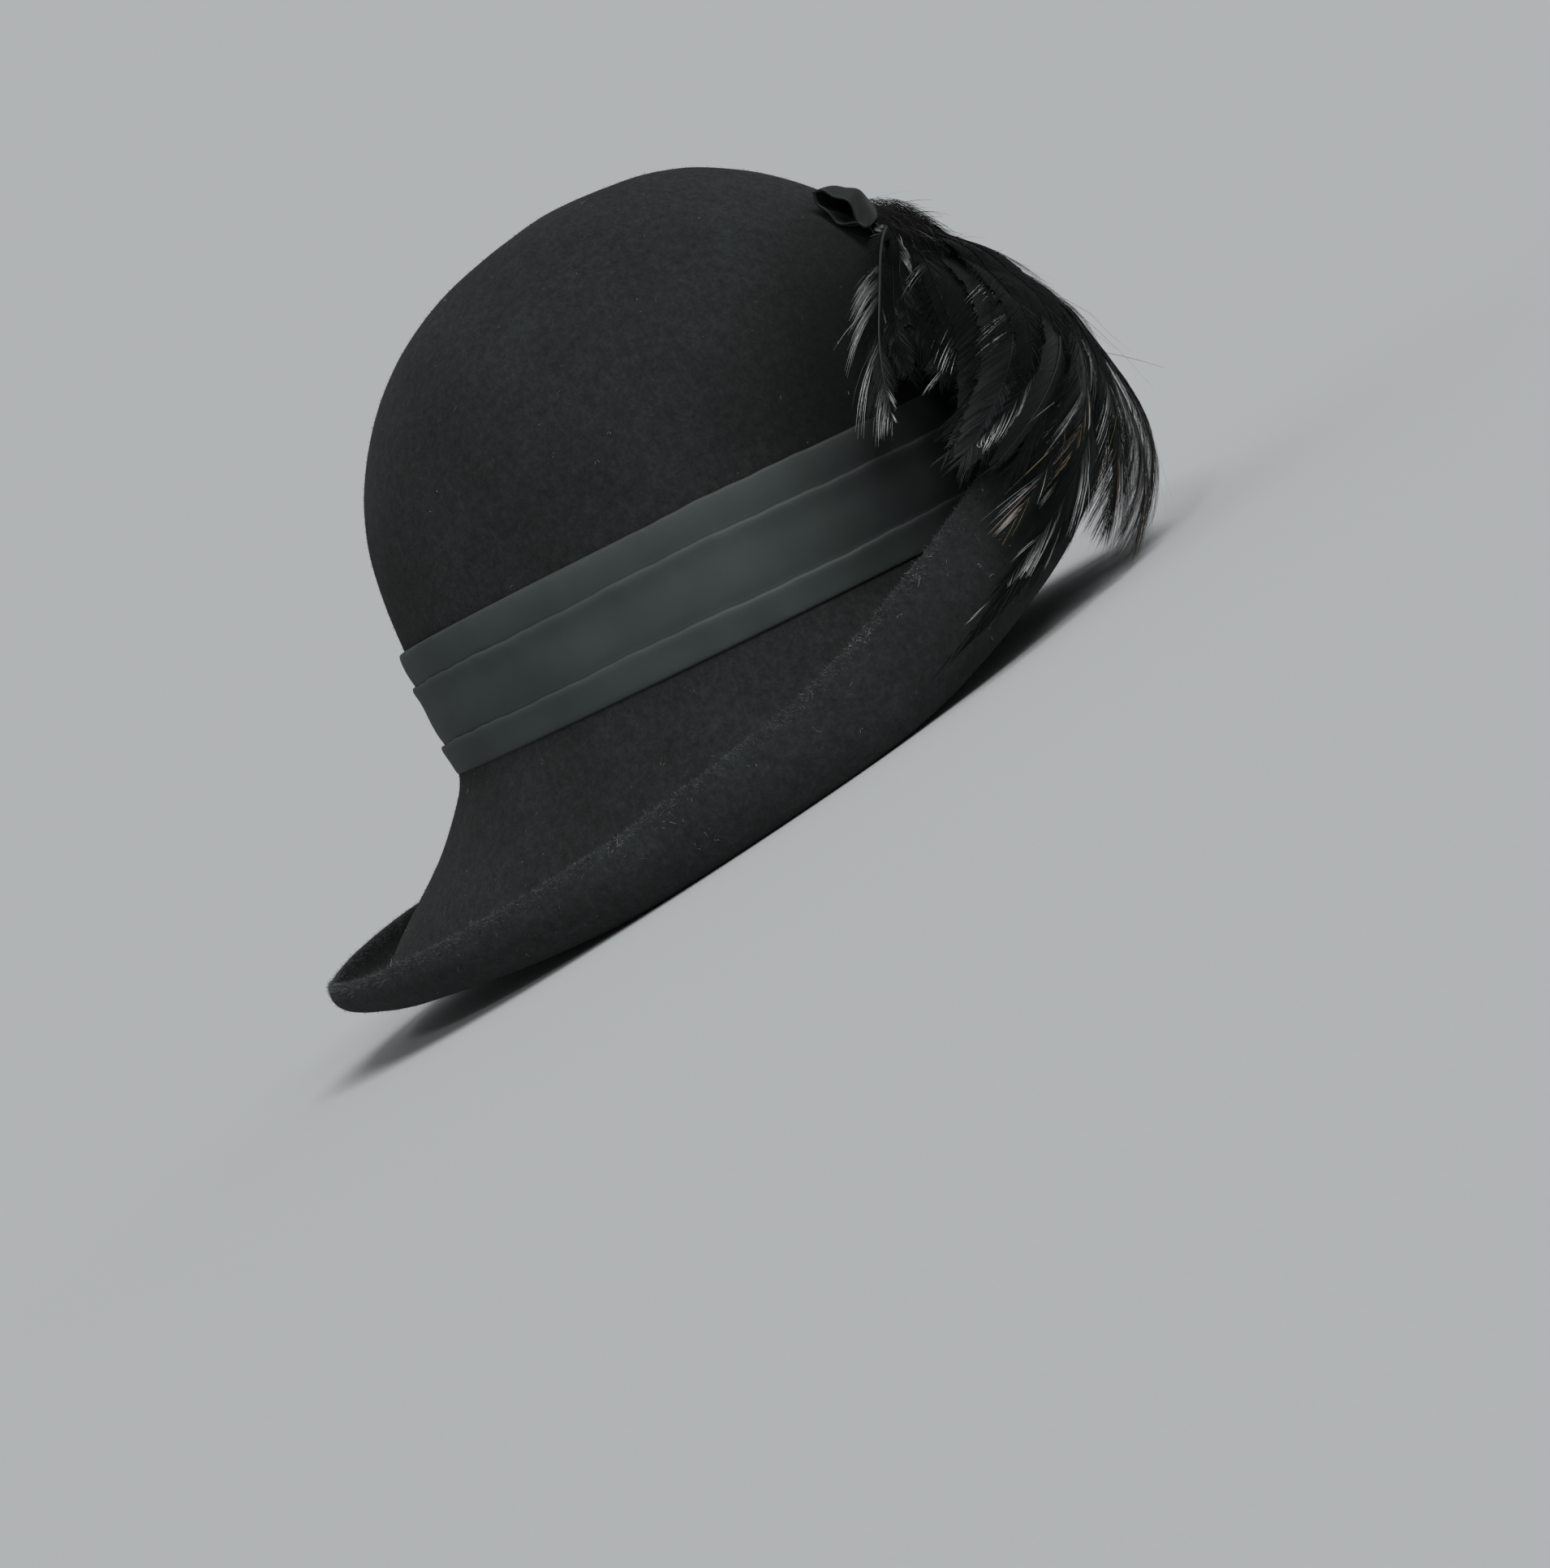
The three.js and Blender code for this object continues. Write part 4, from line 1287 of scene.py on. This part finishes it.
    def barb_tones(self, t, rng, black, painted_glint, gleam, warm):
        """A colour for each vertex of the barbs: black, painted glints pale where they gleam, a few warm."""
        count = len(painted_glint)
        tone = np.tile(black, (count, len(t), 1)) * rng.uniform(0.6, 1.5, (count, 1, 1))
        bell = np.exp(-(((t - gleam) / (0.1 + 0.33 * gleam)) ** 2))
        share = np.where(painted_glint, rng.uniform(0.1, 0.95, count), 0)
        tone += share[:, None, None] * bell[None, :, None] * np.array(PAINTED_GLINT_TINT)
        kind = rng.random(count)
        tone[kind < warm] = GOLDEN_BARB
        tone[kind > 1 - warm * 0.5] = REDDISH_BARB
        return np.repeat(tone.reshape(-1, 3), 2, 0)

    def tuft(self, settings):
        """Short ragged barbs that stand up round the root of the spray."""
        count = TUFT["barbs"]
        rng = np.random.default_rng(TUFT["seed"])
        turn = np.radians(rng.uniform(*TUFT["turn"], count))
        height = rng.uniform(*TUFT["height"], count)
        point, up, across, off = frame_on(on_crown, turn, height)
        wide, tall, thick = BACKING["half_size"]
        beside = (turn - BACKING["turn"]) * BACKING["reach"] / wide
        above = (height - BACKING["height"]) / tall
        pad = BACKING["off"] + thick * np.sqrt(np.maximum(1 - (beside**2 + above**2), 0))
        point = point + off * (pad + rng.uniform(-2, 0.6, count))[:, None]
        lean = rng.normal(0, 0.5, (count, 1))
        rise = rng.uniform(0.0, 0.55, (count, 1)) + (rng.random((count, 1)) < 0.06) * 0.7
        heading = unit(-up + across * lean + off * rise)
        length = rng.uniform(*TUFT["length"], (count, 1))
        bend = rng.normal(0, 0.15, (count, 1)) * across - off * rng.uniform(0.1, 0.4, (count, 1))
        t = np.linspace(0, 1, BARB_STEPS)
        run = t[None, :, None]
        line = point[:, None] + (heading[:, None] * run + bend[:, None] * run**2) * length[:, None]
        flat = unit(np.cross(heading, off + across * rng.normal(0, 0.6, (count, 1))))
        width = 1.3 * settings.barb_width / MM * (1 - 0.7 * t)[None] * np.ones((count, 1))
        brown = np.array(settings.colour) * TUFT_TINT
        # A few barbs of the tuft get a painted glint.
        tones = self.barb_tones(t, rng, brown, rng.random(count) < 0.01, 0.7, np.zeros(count))
        self.keep_strips(line, np.repeat(flat[:, None], BARB_STEPS, 1), width, tones, 0, t[None] * length)

    def loose_barb(self, settings):
        """The single long barb that has sprung away from the spray's front."""
        tip = Shaft(UPPER_TIER[LOOSE_BARB["feather"]], UPPER_BOW).point[-1]
        t = np.linspace(0, 1, LOOSE_BARB["steps"])
        run = t * LOOSE_BARB["length"]
        sag = (t**2 * LOOSE_BARB["sag"])[:, None] * np.array((0, 0, 1))
        line = tip + run[:, None] * unit(np.array(LOOSE_BARB["toward"])) - sag
        flat = np.tile((0.0, 0.6, -0.8), (1, len(t), 1))
        width = settings.barb_width / MM * (1 - 0.7 * t)
        tones = np.tile(np.array(settings.colour) * 2, (2 * len(t), 1))
        self.keep_strips(line[None], flat, width[None], tones, 0, run[None])


class HAT_OT_stage(bpy.types.Operator):
    """Set the floor, the light and the camera"""

    bl_idname = "hat.stage"
    bl_label = "Stage"

    def execute(self, context):
        settings = context.scene.hat_stage
        self.floor(settings)
        self.lights(context, settings)
        self.air(context, settings)
        self.camera(context, settings)
        return {"FINISHED"}

    def floor(self, settings):
        """A wide plain floor, as light as the air behind it."""
        circle = {"vertices": 96, "radius": FLOOR_RADIUS, "fill_type": "NGON"}
        floor = primitive("studio_floor", bpy.ops.mesh.primitive_circle_add, **circle)
        bpy.ops.mesh.inset(thickness=FLOOR_RING)
        bpy.ops.object.mode_set(mode="OBJECT")
        light = settings.key * Vector(KEY_FROM).normalized().z
        light = light + settings.window * Vector(WINDOW_FROM).normalized().z
        pale = [part / (settings.even * part + light) for part in settings.air]
        nodes = Nodes("studio_paper")
        tooth = nodes.noise(nodes.place(), scale=900)
        shade = nodes.shades(tooth, pale, ((0, 0.985), (1, 1.015)))
        nodes.set(Base_Color=shade, Roughness=1, Specular_IOR_Level=0)
        floor.data.materials.append(nodes.material)

    def lights(self, context, settings):
        """One large soft lamp over the front of the hat and a small window."""
        for name, start, power, width in (
            ("key_light", KEY_FROM, settings.key, KEY_WIDTH),
            ("window_light", WINDOW_FROM, settings.window, WINDOW_WIDTH),
        ):
            data = bpy.data.lights.new(name, "SUN")
            data.energy = power * math.pi
            data.angle = math.radians(width)
            light = bpy.data.objects.new(name, data)
            context.scene.collection.objects.link(light)
            light.rotation_euler = (-Vector(start)).to_track_quat("-Z", "Y").to_euler()

    def air(self, context, settings):
        """Even light from all round, dimmer than the backdrop that the camera sees."""
        world = bpy.data.worlds.new("studio_air")
        world.use_nodes = True
        tree = world.node_tree
        seen = tree.nodes["Background"]
        seen.inputs["Color"].default_value = (*settings.air, 1)
        even = tree.nodes.new("ShaderNodeBackground")
        even.inputs["Color"].default_value = (*settings.air, 1)
        even.inputs["Strength"].default_value = settings.even
        path = tree.nodes.new("ShaderNodeLightPath")
        both = tree.nodes.new("ShaderNodeMixShader")
        tree.links.new(path.outputs["Is Camera Ray"], both.inputs[0])
        tree.links.new(even.outputs[0], both.inputs[1])
        tree.links.new(seen.outputs[0], both.inputs[2])
        tree.links.new(both.outputs[0], tree.nodes["World Output"].inputs["Surface"])
        context.scene.world = world
        context.scene.view_settings.view_transform = "Standard"

    def camera(self, context, settings):
        """The camera at the wearer's right, tilted so that the hat leans back in the picture."""
        rest = Matrix.Rotation(REST_PITCH, 3, "X")
        forward = Vector((0, -1, 0))
        right = Vector((-1, 0, 0))
        up = Vector((0, 0, 1))
        rise = settings.elevation
        tilt = settings.tilt
        target = HAT_ORIGIN + rest @ (forward * LOOK_AT["ahead"] + up * LOOK_AT["up"]) * MM
        back = rest @ (right * math.cos(rise) + up * math.sin(rise))
        level = rest @ (up * math.cos(rise) - right * math.sin(rise))
        ahead = rest @ forward
        sideways = ahead * math.cos(tilt) - level * math.sin(tilt)
        upward = ahead * math.sin(tilt) + level * math.cos(tilt)
        data = bpy.data.cameras.new("photo_camera")
        data.sensor_fit = "AUTO"
        data.sensor_width = SENSOR
        data.lens = SENSOR * FOCAL_PIXELS / PICTURE_PIXELS
        data.clip_start = 0.01
        data.clip_end = 50
        camera = bpy.data.objects.new("photo_camera", data)
        context.scene.collection.objects.link(camera)
        turn = Matrix((sideways, upward, back)).transposed().to_4x4()
        turn.translation = target + back * settings.distance
        camera.matrix_world = turn
        context.scene.camera = camera


class HAT_PT_panel(bpy.types.Panel):
    """The hat's pieces and their settings"""

    bl_idname = "HAT_PT_panel"
    bl_label = "Feathered felt hat"
    bl_space_type = "VIEW_3D"
    bl_region_type = "UI"
    bl_category = "Hat"

    def draw(self, context):
        for name, kind in SETTINGS.items():
            for setting in kind.__annotations__:
                self.layout.prop(getattr(context.scene, name), setting)
        for operator in OPERATORS:
            self.layout.operator(operator.bl_idname)


OPERATORS = (
    HAT_OT_felt_body,
    HAT_OT_felt_fibres,
    HAT_OT_band,
    HAT_OT_loop,
    HAT_OT_feathers,
    HAT_OT_stage,
)
SETTINGS = {
    "hat_felt": FeltSettings,
    "hat_band": BandSettings,
    "hat_feathers": FeatherSettings,
    "hat_stage": StageSettings,
}


def register():
    """Registers the settings, the operators and the panel."""
    for name, kind in SETTINGS.items():
        bpy.utils.register_class(kind)
        setattr(bpy.types.Scene, name, bpy.props.PointerProperty(type=kind))
    for kind in (*OPERATORS, HAT_PT_panel):
        bpy.utils.register_class(kind)


def unregister():
    """Takes the panel, the operators and the settings away again."""
    for kind in (HAT_PT_panel, *reversed(OPERATORS)):
        bpy.utils.unregister_class(kind)
    for name, kind in reversed(SETTINGS.items()):
        delattr(bpy.types.Scene, name)
        bpy.utils.unregister_class(kind)


def main():
    """Makes every piece and the stage."""
    register()
    bpy.ops.hat.felt_body()
    bpy.ops.hat.felt_fibres()
    bpy.ops.hat.band()
    bpy.ops.hat.loop()
    bpy.ops.hat.feathers()
    bpy.ops.hat.stage()


if __name__ == "__main__":
    main()
